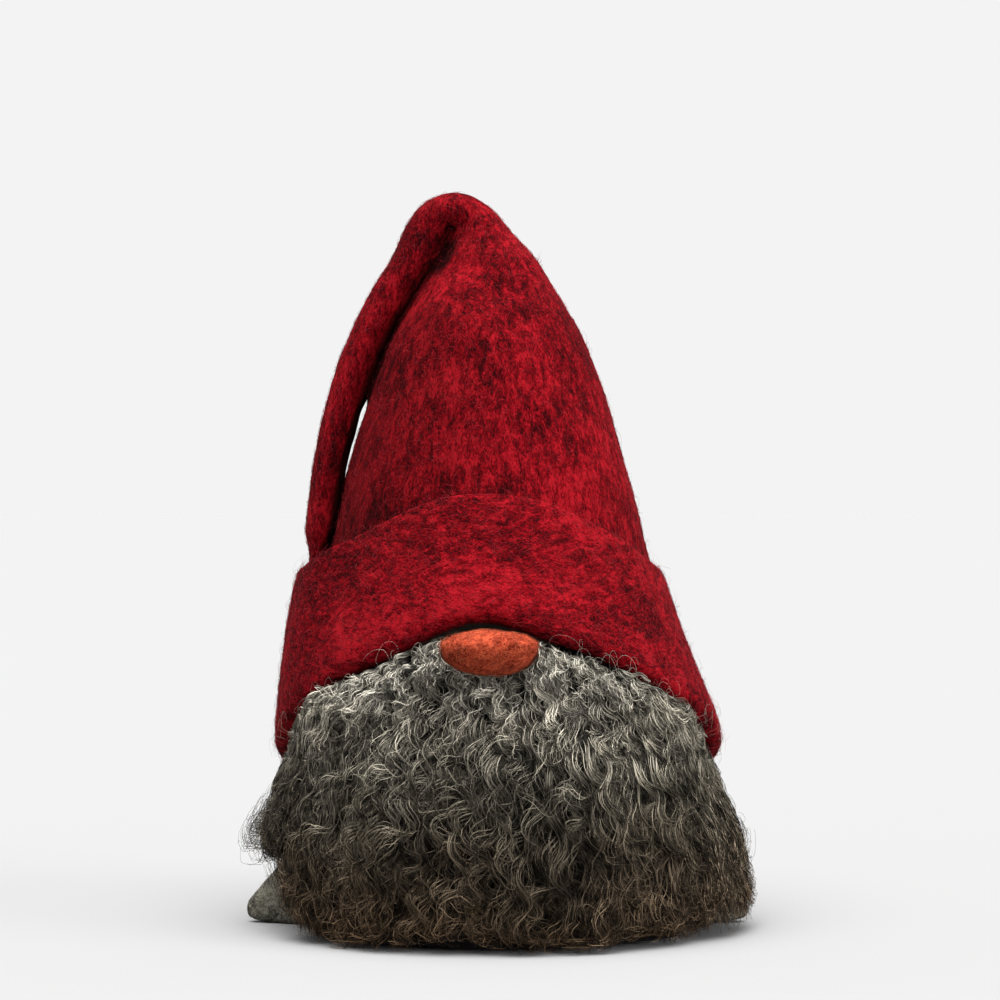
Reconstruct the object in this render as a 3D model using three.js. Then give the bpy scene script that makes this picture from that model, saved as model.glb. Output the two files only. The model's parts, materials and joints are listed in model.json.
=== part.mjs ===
// A felt tomte: a weighted grey sack behind a sheepskin beard, under a tall fulled wool hat
// whose tip is folded over and tucked behind the turned-up cuff.
// Millimetres, +Z up. The face looks along -Y, and the origin is the middle of the flat sole.
import * as THREE from "three";

// Clearance between pieces that touch.
const GAP = 0.4;

// Hat. Heights run from the side of the hat; the brim rises to the face and drops to the nape.
const HAT_AXIS_X = -4.5;
const HAT_AXIS_Y = 3;
const HAT_SIDES = 32;
// The hat's axis moves from the body's middle to its own between these heights.
const AXIS_SHIFT_FROM = 80;
const AXIS_SHIFT_TO = 160;
const CROWN_FELT = 3.5;
const CUFF_FELT = 3.8;
const CROWN_TOP = 316;
// Outer radius of the crown by height.
const CROWN_RADIUS = [
  [40, 96], [80, 98], [107, 93.5], [125, 89], [171, 78], [207, 69.4],
  [243, 59.4], [272, 49.3], [287, 42.5], [301, 33.5], [316, 24],
];
const FOLD_SIDE = 82;
const FOLD_SWING = 44;
const FOLD_RISE = 13;
const FOLD_DROP = 5;
const NOSE_ARCH = 7.5;
const NOSE_ARCH_WIDTH = 27;
const BRIM_RADIUS = 98;
const FOLD_HEIGHT = 8;
const HEM_GAP = 1.2;
const CUFF_TOP_SIDE = 167;
const CUFF_TOP_SWING = 8;
const CUFF_TOP_RISE = 29;
const CUFF_TOP_DROP = 39;
// How far the cuff's outer face stands off the crown, at the fold and at its top edge.
const CUFF_STANDOFF_FOLD = 10.5;
const CUFF_STANDOFF_FACE = 5;
const CUFF_STANDOFF_TOP = 4.4;
// Share of the pocket's depth that the fold below it takes up.
const POCKET_SHARE_AT_FOLD = 0.25;
// Rounding of the felt where the brim folds up: corners along the outside, then the inside, as
// [share of the fold's standoff, height over the fold].
const FOLD_OUTSIDE = [[0, 0.7], [0.45, 0], [0.82, 2.2]];
const FOLD_INSIDE = [[0.5, 4], [0.1, 4.6]];
const CUFF_ROUNDING = 1.4;
const CUFF_SECTIONS = 44;
const CUFF_STEPS = 4;
// The pocket that the tail of the hat tucks into, as an arc of the left side.
const POCKET_FROM = -150;
const POCKET_TO = -66;
const POCKET_RAMP = 20;
const POCKET_DEPTH = 8.2;
// How far the tail presses the crown in, a dent that fades out between two heights.
const POCKET_DENT = 3;
const DENT_FADE_FROM = 170;
const DENT_FADE_TO = 220;

// Tip: the top of the cone folded over to the left. Inner and outer [x, z], then half depth.
const TIP_FOLD = [
  [[-28.5, 316.4], [19.5, 316.4], 24],
  [[-25, 323], [14, 323], 20],
  [[-22.4, 329.2], [7.5, 330], 16],
  [[-21.6, 330.9], [0, 339], 14],
  [[-21.7, 331.6], [-10, 347], 13],
  [[-22.2, 331.8], [-22, 350], 12.5],
  [[-22.8, 331.4], [-34.5, 345.5], 12.5],
  [[-23.4, 330.2], [-42.5, 337], 12],
  [[-24.6, 327], [-47.5, 326.5], 12],
  [[-30, 317], [-52, 315.5], 12.5],
];
// Outer face of the hanging tail, x by height, and its half depth by height.
const TAIL_OUTLINE = [
  [148, -93.4], [160, -92.4], [172, -91.8], [186, -91.4], [215, -88.5],
  [243, -83.5], [258, -80], [272, -75], [287, -68.7], [301, -60.5],
];
const TAIL_HALF_DEPTH = [[148, 6.5], [172, 10], [215, 12], [266, 13], [301, 12.5]];
const TAIL_TOP = 303;
const TAIL_END = 149;
const TAIL_STEPS = 9;
const TAIL_CLEAR = 1;
const TIP_WALL = 3.2;
const TIP_HOLLOW_END = 216;
const TIP_END_WIDTH = 0.55;
const TIP_END_DROP = 2.5;

// Body. Half width by height, shared by the sack, the head cover, the hide and what they hold.
const BODY_WIDTH = [
  [0, 82], [6, 89], [14, 92], [45, 92], [80, 88], [97, 84], [128, 77],
  [150, 72], [171, 67], [207, 58], [243, 46], [256, 36], [264, 20],
];
const BODY_STRAIGHT_FROM = 20;
const BODY_FLATTER = 3;
const BODY_CENTRE_Y = 1.5;
const BODY_SIDES = 30;
const SOLE_HALF_WIDTH = 79.5;
const SOLE_FELT = 3;
const SOLE_ROUNDING = 0.6;
const SACK_FELT = 3;
const SACK_NECK = 124;
const DISC_HALF_WIDTH = 78;
const DISC_THICK = 5;
const DISC_ROUNDING = 0.8;
const SLAB_SIDES = 36;
// Corner ears of the sack: reach past the side, the height where their slope starts, and the
// beard's lower edge over them, which lifts between two turns from the face.
const EAR_REACH = 33;
const EAR_SLOPE_FROM = 5;
const EAR_HALF_DEPTH = 9;
const EAR_SHARE_FAR = -0.04;
const EAR_SHARE_AT_HEM = 0.8;
const SACK_SIDES = 56;
const SACK_CROWDING = 0.38;
const SACK_LEVELS_OUTSIDE = [3, 9, 15, 22, 30, 38, 48, 64, 80, 97, 112];
const SACK_LEVELS_INSIDE = [118, 97, 80, 45, 14];
const EAR_CLEAR_HEIGHT = 42;
const EAR_CLEAR_FROM = 57;
const EAR_CLEAR_TO = 68;

const BAG_HALF_WIDTH = 68;
const BAG_HEIGHT = 42;
const BAG_CLOTH = 1.2;
const BAG_NECK = 9;
const BAG_MOUTH = 14;
const BAG_TIE_Z = 58;
const BAG_TOP = 69;
// Round shoulders of the bag: how far each corner stands in from its widest.
const BAG_FOOT_IN = 8;
const BAG_FOOT_UP = 9;
const BAG_SHOULDER_IN = 12;
const BAG_SHOULDER_DOWN = [20, 6];
const BAG_TOP_SHARE = 0.45;
const BAG_SIDES = 24;
const TIE_RADIUS = 1.5;
// Wadding over the bag, as [half width, height] from its middle down, then the widths where it
// stands on the disc and the heights of its outside.
const FILL_UNDER = [[10, 74], [24, 71], [32, 58], [60, 51], [72, 38], [72, 18]];
const FILL_FOOT_FROM = 66;
const FILL_FOOT_TO = 75;
const FILL_LEVELS = [16, 45, 80, 100, 118];
const FILL_CLEAR = 0.6;

// Clearances of the plug of wadding in the crown: under it, over it and round it.
const PLUG_CLEAR_LOW = 3;
const PLUG_CLEAR_HIGH = 4;
const PLUG_CLEAR_SIDE = 1.2;

const HEAD_CLOTH = 1.4;
const HEAD_FOOT = 128.4;
const HEAD_SHOULDER = 243;
const HEAD_CROWN = 256;
const HEAD_TOP = 262;
const HEAD_FILL_CLEAR = 2.6;
const PLUG_INTO_SACK = 4;
const NECK_CORD_RADIUS = 1.4;

// Beard.
const HIDE_GAP = 1.1;
const HIDE_THICK = 2;
const HIDE_TUCK = 14;
const HIDE_REACH = 98;
const FLEECE_REACH = 96;
const FLEECE_FACE = 28;
const FLEECE_SIDE = 17;
// Share of the full fleece depth by share of its height.
const FLEECE_SWELL = [[0, 0.6], [0.12, 0.9], [0.35, 1], [0.7, 0.82], [0.9, 0.5], [1, 0.3]];
const FLEECE_UNDER_NOSE = 121;
const FLEECE_FOOT = 1.2;
const BEARD_COLUMNS = 28;
const BEARD_LEVELS = 7;

// Nose: a felted ball pressed flat under the edge of the cuff.
const NOSE_X = -3.3;
const NOSE_Y = -93.5;
const NOSE_Z = 136.5;
const NOSE_HALF_WIDTH = 22;
const NOSE_HALF_DEPTH = 15;
const NOSE_BELOW = 13.5;
const NOSE_ABOVE = 6.8;
const NOSE_SIDES = 22;
// Degrees up from the nose's middle where its small flat poles begin.
const NOSE_POLE = 80;
const THREAD_REACH = 5;
const THREAD_RADIUS = 0.6;

const radians = THREE.MathUtils.degToRad;
const lerp = THREE.MathUtils.lerp;

// Smooth curve through [position, value] pairs, constant beyond both ends.
function along(pairs, at) {
  const last = pairs.length - 1;
  if (at <= pairs[0][0]) return pairs[0][1];
  if (at >= pairs[last][0]) return pairs[last][1];
  const i = pairs.findIndex(([position]) => position > at) - 1;
  const slope = (k) => {
    const [before, low] = pairs[Math.max(k - 1, 0)];
    const [after, high] = pairs[Math.min(k + 1, last)];
    return (high - low) / (after - before);
  };
  const span = pairs[i + 1][0] - pairs[i][0];
  const rise = pairs[i + 1][1] - pairs[i][1];
  const t = (at - pairs[i][0]) / span;
  const leave = slope(i) * span;
  const arrive = slope(i + 1) * span;
  const bend = 3 * rise - 2 * leave - arrive + t * (leave + arrive - 2 * rise);
  return pairs[i][1] + t * (leave + t * bend);
}

// Closed skin through rings of equally many points. A looped skin joins its last ring to its
// first; any other has each end closed by a fan to the ring's middle.
function skin(rings, looped = false) {
  const sides = rings[0].length;
  const points = rings.flat();
  const faces = [];
  const bands = looped ? rings.length : rings.length - 1;
  for (let i = 0; i < bands; i++) {
    const next = (i + 1) % rings.length;
    for (let j = 0; j < sides; j++) {
      const k = (j + 1) % sides;
      const [a, b] = [i * sides + j, i * sides + k];
      const [c, d] = [next * sides + k, next * sides + j];
      faces.push(a, b, c, a, c, d);
    }
  }
  if (!looped) {
    const lastStart = (rings.length - 1) * sides;
    const middles = [rings[0], rings[rings.length - 1]].map((ring) => {
      const middle = new THREE.Vector3();
      ring.forEach((point) => middle.addScaledVector(point, 1 / sides));
      return middle;
    });
    points.push(...middles);
    for (let j = 0; j < sides; j++) {
      const k = (j + 1) % sides;
      faces.push(k, j, points.length - 2);
      faces.push(lastStart + j, lastStart + k, points.length - 1);
    }
  }
  return outward(points, faces);
}

// Geometry whose faces all point out, whichever way round the rings ran.
function outward(points, faces) {
  let volume = 0;
  for (let f = 0; f < faces.length; f += 3) {
    const [a, b, c] = [points[faces[f]], points[faces[f + 1]], points[faces[f + 2]]];
    volume += a.dot(new THREE.Vector3().crossVectors(b, c));
  }
  const index = volume < 0 ? faces.reverse() : faces;
  const geometry = new THREE.BufferGeometry().setFromPoints(points);
  geometry.setIndex(index);
  geometry.computeVertexNormals();
  return geometry;
}

// One ring of points from a function of the turn, 0 at the face and growing towards +X.
function ring(count, pointAt) {
  return Array.from({ length: count }, (_, j) => pointAt((2 * Math.PI * j) / count));
}

function bodyPoint(turn, halfWidth, z) {
  const halfDepth = halfWidth - BODY_FLATTER;
  const x = halfWidth * Math.sin(turn);
  return new THREE.Vector3(x, BODY_CENTRE_Y - halfDepth * Math.cos(turn), z);
}

// Solid or shell whose rings are body ovals, from [half width, z] pairs.
function ovals(pairs, count, looped = false) {
  const rings = pairs.map(([width, z]) => ring(count, (turn) => bodyPoint(turn, width, z)));
  return skin(rings, looped);
}

function steps(from, to, count) {
  return Array.from({ length: count + 1 }, (_, i) => lerp(from, to, i / count));
}

const bodyWidth = (z) => along(BODY_WIDTH, z);

// 1 over the arc of the cuff's pocket, falling to 0 on both sides of it.
function pocketShare(turn) {
  const degrees = THREE.MathUtils.radToDeg(Math.atan2(Math.sin(turn), Math.cos(turn)));
  const enter = THREE.MathUtils.smoothstep(degrees, POCKET_FROM - POCKET_RAMP, POCKET_FROM);
  const leave = THREE.MathUtils.smoothstep(degrees, POCKET_TO, POCKET_TO + POCKET_RAMP);
  return enter * (1 - leave);
}

// The crown stands on the hat axis above the cuff and on the body's middle at the brim.
function hatPoint(turn, standoff, z) {
  const centreX = HAT_AXIS_X * THREE.MathUtils.smoothstep(z, AXIS_SHIFT_FROM, AXIS_SHIFT_TO);
  const fade = 1 - THREE.MathUtils.smoothstep(z, DENT_FADE_FROM, DENT_FADE_TO);
  const dent = POCKET_DENT * pocketShare(turn) * fade;
  const radius = along(CROWN_RADIUS, z) - dent + standoff;
  const x = centreX + radius * Math.sin(turn);
  return new THREE.Vector3(x, HAT_AXIS_Y - radius * Math.cos(turn), z);
}

function foldHeight(turn) {
  const face = Math.cos(turn);
  const bend = (face > 0 ? FOLD_RISE : FOLD_DROP) * face * face;
  const aside = (BRIM_RADIUS * Math.sin(turn) - NOSE_X) / NOSE_ARCH_WIDTH;
  const arch = face > 0 ? NOSE_ARCH * Math.exp(-aside * aside) : 0;
  return FOLD_SIDE + FOLD_SWING * face + bend + arch;
}

function cuffTop(turn) {
  const face = Math.cos(turn);
  const bend = (face > 0 ? CUFF_TOP_RISE : -CUFF_TOP_DROP) * face * face;
  return CUFF_TOP_SIDE + CUFF_TOP_SWING * face + bend;
}

function hatCrown() {
  const outer = steps(0, 1, 10);
  const inner = steps(1, 0, 8);
  const height = (turn, t) => lerp(foldHeight(turn) + FOLD_HEIGHT, CROWN_TOP, t);
  const rings = [
    ...outer.map((t) => ring(HAT_SIDES, (turn) => hatPoint(turn, 0, height(turn, t)))),
    ...inner.map((t) => ring(HAT_SIDES, (turn) => hatPoint(turn, -CROWN_FELT, height(turn, t)))),
  ];
  return skin(rings, true);
}

// Section of the cuff at one turn: from the crown's hem round under the fold, up the outside to
// the top edge, and down the inside.
function cuffSection(turn) {
  const fold = foldHeight(turn);
  const top = cuffTop(turn);
  const face = Math.max(Math.cos(turn), 0);
  const pocket = POCKET_DEPTH * pocketShare(turn);
  const low = CUFF_STANDOFF_FOLD + CUFF_STANDOFF_FACE * face * face + pocket * POCKET_SHARE_AT_FOLD;
  const high = CUFF_STANDOFF_TOP + pocket + POCKET_DENT * pocketShare(turn);
  const standoff = (t) => lerp(low, high, t);
  const height = (t) => lerp(fold + FOLD_HEIGHT, top - CUFF_ROUNDING, t);
  const hem = fold + FOLD_HEIGHT - HEM_GAP;
  const corner = ([share, rise]) => [low * share, fold + rise];
  const section = [
    [-CROWN_FELT, hem],
    [-CROWN_FELT, fold + CROWN_FELT],
    ...FOLD_OUTSIDE.map(corner),
    ...steps(0, 1, CUFF_STEPS).map((t) => [standoff(t), height(t)]),
    [high - CUFF_FELT / 2, top],
    ...steps(1, 0, CUFF_STEPS).map((t) => [standoff(t) - CUFF_FELT, height(t)]),
    ...FOLD_INSIDE.map(corner),
    [0, hem],
  ];
  return section.map(([offset, z]) => hatPoint(turn, offset, z));
}

function hatCuff() {
  return skin(steps(0, 2 * Math.PI, CUFF_SECTIONS).slice(0, -1).map(cuffSection), true);
}

function hatWadding() {
  const levels = steps(HEAD_TOP + PLUG_CLEAR_LOW, CROWN_TOP - PLUG_CLEAR_HIGH, 5);
  const inset = -CROWN_FELT - PLUG_CLEAR_SIDE;
  const rings = levels.map((z) => ring(BODY_SIDES, (turn) => hatPoint(turn, inset, z)));
  return skin(rings);
}

// Rings of the tip, drawn in by a wall thickness: through the fold, then down the tail.
function tipRings(wall, lowest) {
  const tail = steps(TAIL_TOP, TAIL_END, TAIL_STEPS).map((z) => {
    const crown = hatPoint(-Math.PI / 2, TAIL_CLEAR, z).x;
    return [[crown, z], [along(TAIL_OUTLINE, z), z], along(TAIL_HALF_DEPTH, z)];
  });
  const sections = [...TIP_FOLD, ...tail].filter(([inner]) => inner[1] >= lowest);
  return sections.map(([inner, outer, halfDepth]) => {
    const middle = [(inner[0] + outer[0]) / 2, (inner[1] + outer[1]) / 2];
    const across = new THREE.Vector2(outer[0] - inner[0], outer[1] - inner[1]);
    const halfAcross = across.length() / 2 - wall;
    across.setLength(halfAcross);
    return ring(HAT_SIDES, (turn) => new THREE.Vector3(
      middle[0] + across.x * Math.sin(turn),
      HAT_AXIS_Y - (halfDepth - wall) * Math.cos(turn),
      middle[1] + across.y * Math.sin(turn),
    ));
  });
}

function hatTip() {
  const outside = tipRings(0, TAIL_END);
  const last = outside[outside.length - 1];
  const middle = new THREE.Vector3();
  last.forEach((point) => middle.addScaledVector(point, 1 / HAT_SIDES));
  const rounded = last.map((point) => {
    return point.clone().lerp(middle, 1 - TIP_END_WIDTH).setZ(TAIL_END - TIP_END_DROP);
  });
  return skin([...tipRings(TIP_WALL, TIP_HOLLOW_END).reverse(), ...outside, rounded]);
}

// Flat oval slab with its rim rounded off above and below.
function slab(rim, low, thick, rounding) {
  const high = low + thick;
  const narrow = rim - rounding;
  const pairs = [[narrow, low], [rim, low + rounding], [rim, high - rounding], [narrow, high]];
  return ovals(pairs, SLAB_SIDES);
}

function solePanel() {
  return slab(SOLE_HALF_WIDTH, 0, SOLE_FELT, SOLE_ROUNDING);
}

function baseDisc() {
  return slab(DISC_HALF_WIDTH, SOLE_FELT + GAP, DISC_THICK, DISC_ROUNDING);
}

// The sack with its two bottom corners drawn out to points. The turn is crowded at the corners.
function bodySack() {
  const sackRing = (width, z, earShare) => ring(SACK_SIDES, (turn) => {
    const crowded = turn + SACK_CROWDING * Math.sin(2 * turn);
    const point = bodyPoint(crowded, width, z);
    point.x += Math.sign(point.x) * earReach(point.y, z) * earShare;
    return point;
  });
  const hem = SOLE_HALF_WIDTH + GAP;
  const inside = (z) => sackRing(bodyWidth(z) - SACK_FELT, z, 0);
  const rings = [
    sackRing(hem, 0.1 * SACK_FELT, 0),
    sackRing(bodyWidth(0) + 1, 0.1 * SACK_FELT, EAR_SHARE_AT_HEM),
    ...SACK_LEVELS_OUTSIDE.map((z) => sackRing(bodyWidth(z), z, 1)),
    sackRing(bodyWidth(SACK_NECK), SACK_NECK, 1),
    inside(SACK_NECK),
    ...SACK_LEVELS_INSIDE.map(inside),
    sackRing(hem, 2 * SACK_FELT, 0),
  ];
  return skin(rings, true);
}

// How far a corner ear stands out from the sack's side at one place.
function earReach(y, z) {
  const reach = Math.max(EAR_REACH - Math.max(z - EAR_SLOPE_FROM, 0), 0);
  const across = Math.abs(y - BODY_CENTRE_Y) / EAR_HALF_DEPTH;
  return reach * Math.max(lerp(EAR_SHARE_FAR, 1, 1 / (1 + across ** 3)), 0);
}

// Squat cotton bag, gathered to an open neck.
function bagProfile(inset) {
  const foot = SOLE_FELT + DISC_THICK + 2 * GAP + inset;
  const shoulder = foot + BAG_HEIGHT - 2 * inset;
  const wide = BAG_HALF_WIDTH - inset;
  return [
    [wide - BAG_FOOT_IN, foot],
    [wide, foot + BAG_FOOT_UP],
    [wide, shoulder - BAG_SHOULDER_DOWN[0]],
    [wide - BAG_SHOULDER_IN, shoulder - BAG_SHOULDER_DOWN[1]],
    [wide * BAG_TOP_SHARE, shoulder],
  ];
}

function ballastBag() {
  const neck = (inset) => [
    [BAG_NECK + 1 - inset, BAG_TIE_Z - 2 * TIE_RADIUS],
    [BAG_NECK - inset, BAG_TIE_Z + TIE_RADIUS],
    [BAG_MOUTH - inset, BAG_TOP],
  ];
  const outside = [...bagProfile(0), ...neck(0)];
  const inside = [...neck(BAG_CLOTH).reverse(), ...bagProfile(BAG_CLOTH).reverse()];
  return ovals([...outside, ...inside], BAG_SIDES);
}

function ballastSand() {
  return ovals(bagProfile(BAG_CLOTH + 2 * GAP), BAG_SIDES);
}

// A cord ring round the body's axis.
function cordRing(halfWidth, z, cordRadius, count) {
  const round = steps(0, 2 * Math.PI, 7).slice(0, -1);
  const pairs = round.map((a) => [
    halfWidth + cordRadius * Math.cos(a),
    z + cordRadius * Math.sin(a),
  ]);
  return ovals(pairs, count, true);
}

function ballastTie() {
  return cordRing(BAG_NECK + 1 + GAP + TIE_RADIUS, BAG_TIE_Z, TIE_RADIUS, BAG_SIDES);
}

// Wadding that fills the sack round and over the ballast bag.
function bodyFill() {
  const floor = SOLE_FELT + DISC_THICK + 3 * GAP;
  const wall = (z) => bodyWidth(z) - SACK_FELT - FILL_CLEAR;
  const outside = [[FILL_FOOT_TO, floor], ...FILL_LEVELS.map((z) => [wall(z), z])];
  return ovals([...FILL_UNDER, [FILL_FOOT_FROM, floor], ...outside], BODY_SIDES);
}

function headCover() {
  const levels = [...steps(HEAD_FOOT, HEAD_SHOULDER, 6), HEAD_CROWN, HEAD_TOP];
  const drop = (z, inset) => (z > HEAD_SHOULDER ? inset : 0);
  const cone = (inset) => levels.map((z) => [bodyWidth(z) - inset, z - drop(z, inset)]);
  return ovals([...cone(HEAD_CLOTH).reverse(), ...cone(0)], BODY_SIDES);
}

function headFill() {
  const plug = [bodyWidth(SACK_NECK) - SACK_FELT - PLUG_INTO_SACK, SACK_NECK - PLUG_INTO_SACK];
  const inset = HEAD_CLOTH + HEAD_FILL_CLEAR;
  const levels = [...steps(SACK_NECK + 6, HEAD_SHOULDER - 3, 5), HEAD_CROWN - 4];
  return ovals([plug, ...levels.map((z) => [bodyWidth(z) - inset, z])], BODY_SIDES);
}

function neckCord() {
  const z = SACK_NECK + 2.2;
  return cordRing(bodyWidth(z) - NECK_CORD_RADIUS, z, NECK_CORD_RADIUS, BODY_SIDES);
}

// Point in front of the body, which the beard leaves straight down from its widest height.
function beardPoint(turn, standoff, z) {
  return bodyPoint(turn, bodyWidth(Math.max(z, BODY_STRAIGHT_FROM)) + standoff, z);
}

// Lower edge of the beard: at the floor in front, and lifted over the corner ears.
function beardFoot(turn) {
  const aside = Math.abs(THREE.MathUtils.radToDeg(turn));
  const lift = THREE.MathUtils.smoothstep(aside, EAR_CLEAR_FROM, EAR_CLEAR_TO);
  return lerp(FLEECE_FOOT, EAR_CLEAR_HEIGHT, lift);
}

function beardHide() {
  const turns = steps(-HIDE_REACH, HIDE_REACH, BEARD_COLUMNS).map(radians);
  return skin(turns.map((turn) => {
    const levels = steps(beardFoot(turn) + 2, foldHeight(turn) + HIDE_TUCK, BEARD_LEVELS);
    const outer = HIDE_GAP + HIDE_THICK;
    return [
      ...levels.map((z) => beardPoint(turn, HIDE_GAP, z)),
      ...levels.reverse().map((z) => beardPoint(turn, outer, z)),
    ];
  }));
}

// Top of the fleece: under the cuff's fold, and lower where the nose sits.
function fleeceTop(turn) {
  const aside = Math.abs(BRIM_RADIUS * Math.sin(turn) - NOSE_X);
  const dip = 1 - THREE.MathUtils.smoothstep(aside, NOSE_HALF_WIDTH + 2, NOSE_HALF_WIDTH + 12);
  return lerp(foldHeight(turn) - 2, FLEECE_UNDER_NOSE, dip);
}

function beardFleece() {
  const turns = steps(-FLEECE_REACH, FLEECE_REACH, BEARD_COLUMNS).map(radians);
  return skin(turns.map((turn) => {
    const levels = steps(0, 1, BEARD_LEVELS);
    const height = (t) => lerp(beardFoot(turn), fleeceTop(turn), t);
    const base = 2 * HIDE_GAP + HIDE_THICK;
    const fade = Math.abs(turn) > radians(FLEECE_REACH - 4) ? 0.5 : 1;
    const face = Math.max(Math.cos(turn), 0);
    const deep = lerp(FLEECE_SIDE, FLEECE_FACE, face) * fade;
    return [
      ...levels.map((t) => beardPoint(turn, base, height(t))),
      ...levels.reverse().map((t) => {
        return beardPoint(turn, base + deep * along(FLEECE_SWELL, t), height(t));
      }),
    ];
  }));
}

function nose() {
  const levels = steps(-NOSE_POLE, NOSE_POLE, 8).map(radians);
  const rings = levels.map((lift) => ring(NOSE_SIDES, (turn) => {
    const up = Math.sin(lift);
    return new THREE.Vector3(
      NOSE_X + NOSE_HALF_WIDTH * Math.cos(lift) * Math.sin(turn),
      NOSE_Y - NOSE_HALF_DEPTH * Math.cos(lift) * Math.cos(turn),
      NOSE_Z + up * (up > 0 ? NOSE_ABOVE : NOSE_BELOW),
    );
  }));
  return skin(rings);
}

// Ring of stitches between the back of the nose and the hide.
function noseThread() {
  const section = steps(0, 2 * Math.PI, 6).slice(0, -1);
  const middleY = NOSE_Y + NOSE_HALF_DEPTH + THREAD_RADIUS + GAP;
  const rings = steps(0, 2 * Math.PI, 16).slice(0, -1).map((turn) => section.map((a) => {
    const reach = THREAD_REACH + THREAD_RADIUS * Math.cos(a);
    return new THREE.Vector3(
      NOSE_X + reach * Math.cos(turn),
      middleY + THREAD_RADIUS * Math.sin(a),
      NOSE_Z + reach * Math.sin(turn),
    );
  }));
  return skin(rings, true);
}

// Materials: colour, roughness and metalness of each cloth, skin and filling.
function finish(color, roughness) {
  return new THREE.MeshStandardMaterial({ color, roughness, metalness: 0 });
}

const RED_FELT = finish(0x8a1a22, 0.95);
const ORANGE_FELT = finish(0xad4732, 0.92);
const GREY_FELT = finish(0x434139, 0.95);
const CALICO = finish(0xd8cdb6, 0.9);
const WADDING = finish(0xe8e4da, 1);
const HIDE = finish(0xc9b698, 0.8);
const FLEECE = finish(0x54504a, 0.9);
const PLYWOOD = finish(0xc79f6b, 0.7);
const SAND = finish(0xb59f7c, 0.95);
const CORD = finish(0xbda47a, 0.85);

const tomte = new THREE.Group();

function add(name, geometry, material) {
  const mesh = new THREE.Mesh(geometry, material);
  mesh.name = name;
  tomte.add(mesh);
}

add("sole_panel", solePanel(), GREY_FELT);
add("base_disc", baseDisc(), PLYWOOD);
add("body_sack", bodySack(), GREY_FELT);
add("ballast_bag", ballastBag(), CALICO);
add("ballast_sand", ballastSand(), SAND);
add("ballast_tie", ballastTie(), CORD);
add("body_fill", bodyFill(), WADDING);
add("head_cover", headCover(), CALICO);
add("head_fill", headFill(), WADDING);
add("neck_cord", neckCord(), CORD);
add("beard_hide", beardHide(), HIDE);
add("beard_fleece", beardFleece(), FLEECE);
add("nose", nose(), ORANGE_FELT);
add("nose_thread", noseThread(), CORD);
add("hat_crown", hatCrown(), RED_FELT);
add("hat_cuff", hatCuff(), RED_FELT);
add("hat_wadding", hatWadding(), WADDING);
add("hat_tip", hatTip(), RED_FELT);

export default tomte;
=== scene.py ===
import json
import math

import bmesh
import bpy
import numpy as np
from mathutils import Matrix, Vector
from mathutils.bvhtree import BVHTree


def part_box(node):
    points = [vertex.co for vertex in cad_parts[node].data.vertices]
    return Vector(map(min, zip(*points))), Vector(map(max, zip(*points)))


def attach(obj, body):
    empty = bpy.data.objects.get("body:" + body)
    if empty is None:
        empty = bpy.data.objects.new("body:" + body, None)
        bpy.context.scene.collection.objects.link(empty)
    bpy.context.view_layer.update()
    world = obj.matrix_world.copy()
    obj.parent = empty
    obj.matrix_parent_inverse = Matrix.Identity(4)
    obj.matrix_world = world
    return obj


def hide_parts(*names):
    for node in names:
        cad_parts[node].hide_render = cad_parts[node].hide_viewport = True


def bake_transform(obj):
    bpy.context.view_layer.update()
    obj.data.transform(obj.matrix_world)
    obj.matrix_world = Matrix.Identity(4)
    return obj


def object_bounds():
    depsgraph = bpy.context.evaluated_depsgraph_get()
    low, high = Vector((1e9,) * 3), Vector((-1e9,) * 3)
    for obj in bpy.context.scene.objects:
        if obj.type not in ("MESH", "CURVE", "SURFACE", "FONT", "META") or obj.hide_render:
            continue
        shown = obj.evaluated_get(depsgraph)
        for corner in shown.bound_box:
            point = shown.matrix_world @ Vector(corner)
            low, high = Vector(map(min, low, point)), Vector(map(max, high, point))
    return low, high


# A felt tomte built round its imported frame: fulled hat, ball nose, curly fleece beard and
# weighted sack. Metres, +Z up, and the face looks along -Y.

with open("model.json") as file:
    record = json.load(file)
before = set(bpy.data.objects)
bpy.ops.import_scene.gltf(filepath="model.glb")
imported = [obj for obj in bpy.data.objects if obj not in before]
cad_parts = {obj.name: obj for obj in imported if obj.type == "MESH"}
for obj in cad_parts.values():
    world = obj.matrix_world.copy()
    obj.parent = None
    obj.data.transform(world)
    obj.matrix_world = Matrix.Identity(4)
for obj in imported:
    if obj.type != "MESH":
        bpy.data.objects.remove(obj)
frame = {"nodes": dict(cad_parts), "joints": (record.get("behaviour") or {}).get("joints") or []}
CAD_LOW, CAD_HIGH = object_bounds()
MM = 0.001

# Places that come from the frame.
BODY_CENTRE = (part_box("sole_panel")[0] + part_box("sole_panel")[1]) / 2
NOSE_LOW, NOSE_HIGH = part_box("nose")
CROWN_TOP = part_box("hat_crown")[1].z
SWING_AXIS = next(j for j in frame["joints"] if j["name"] == "tip_swing")["pos_m"]

# The eye: its distance, its height, how far aside it is, and the picture's width at the object.
EYE_DISTANCE = 1.5
EYE_HEIGHT = 0.577 * CAD_HIGH.z
EYE_ASIDE = 1.4 * MM
PICTURE_WIDTH = 478.5 * MM
SENSOR_WIDTH = 36


# --- Numbers -----------------------------------------------------------------------------------

def smooth(t):
    t = np.clip(t, 0, 1)
    return t * t * (3 - 2 * t)


def past(turn, start, width):
    """0 until a turn to either side, and 1 a stretch of that width further on."""
    return smooth((np.abs(turn) - start) / width)


def unit(vectors):
    return vectors / np.maximum(np.linalg.norm(vectors, axis=-1, keepdims=True), 1e-12)


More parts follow.
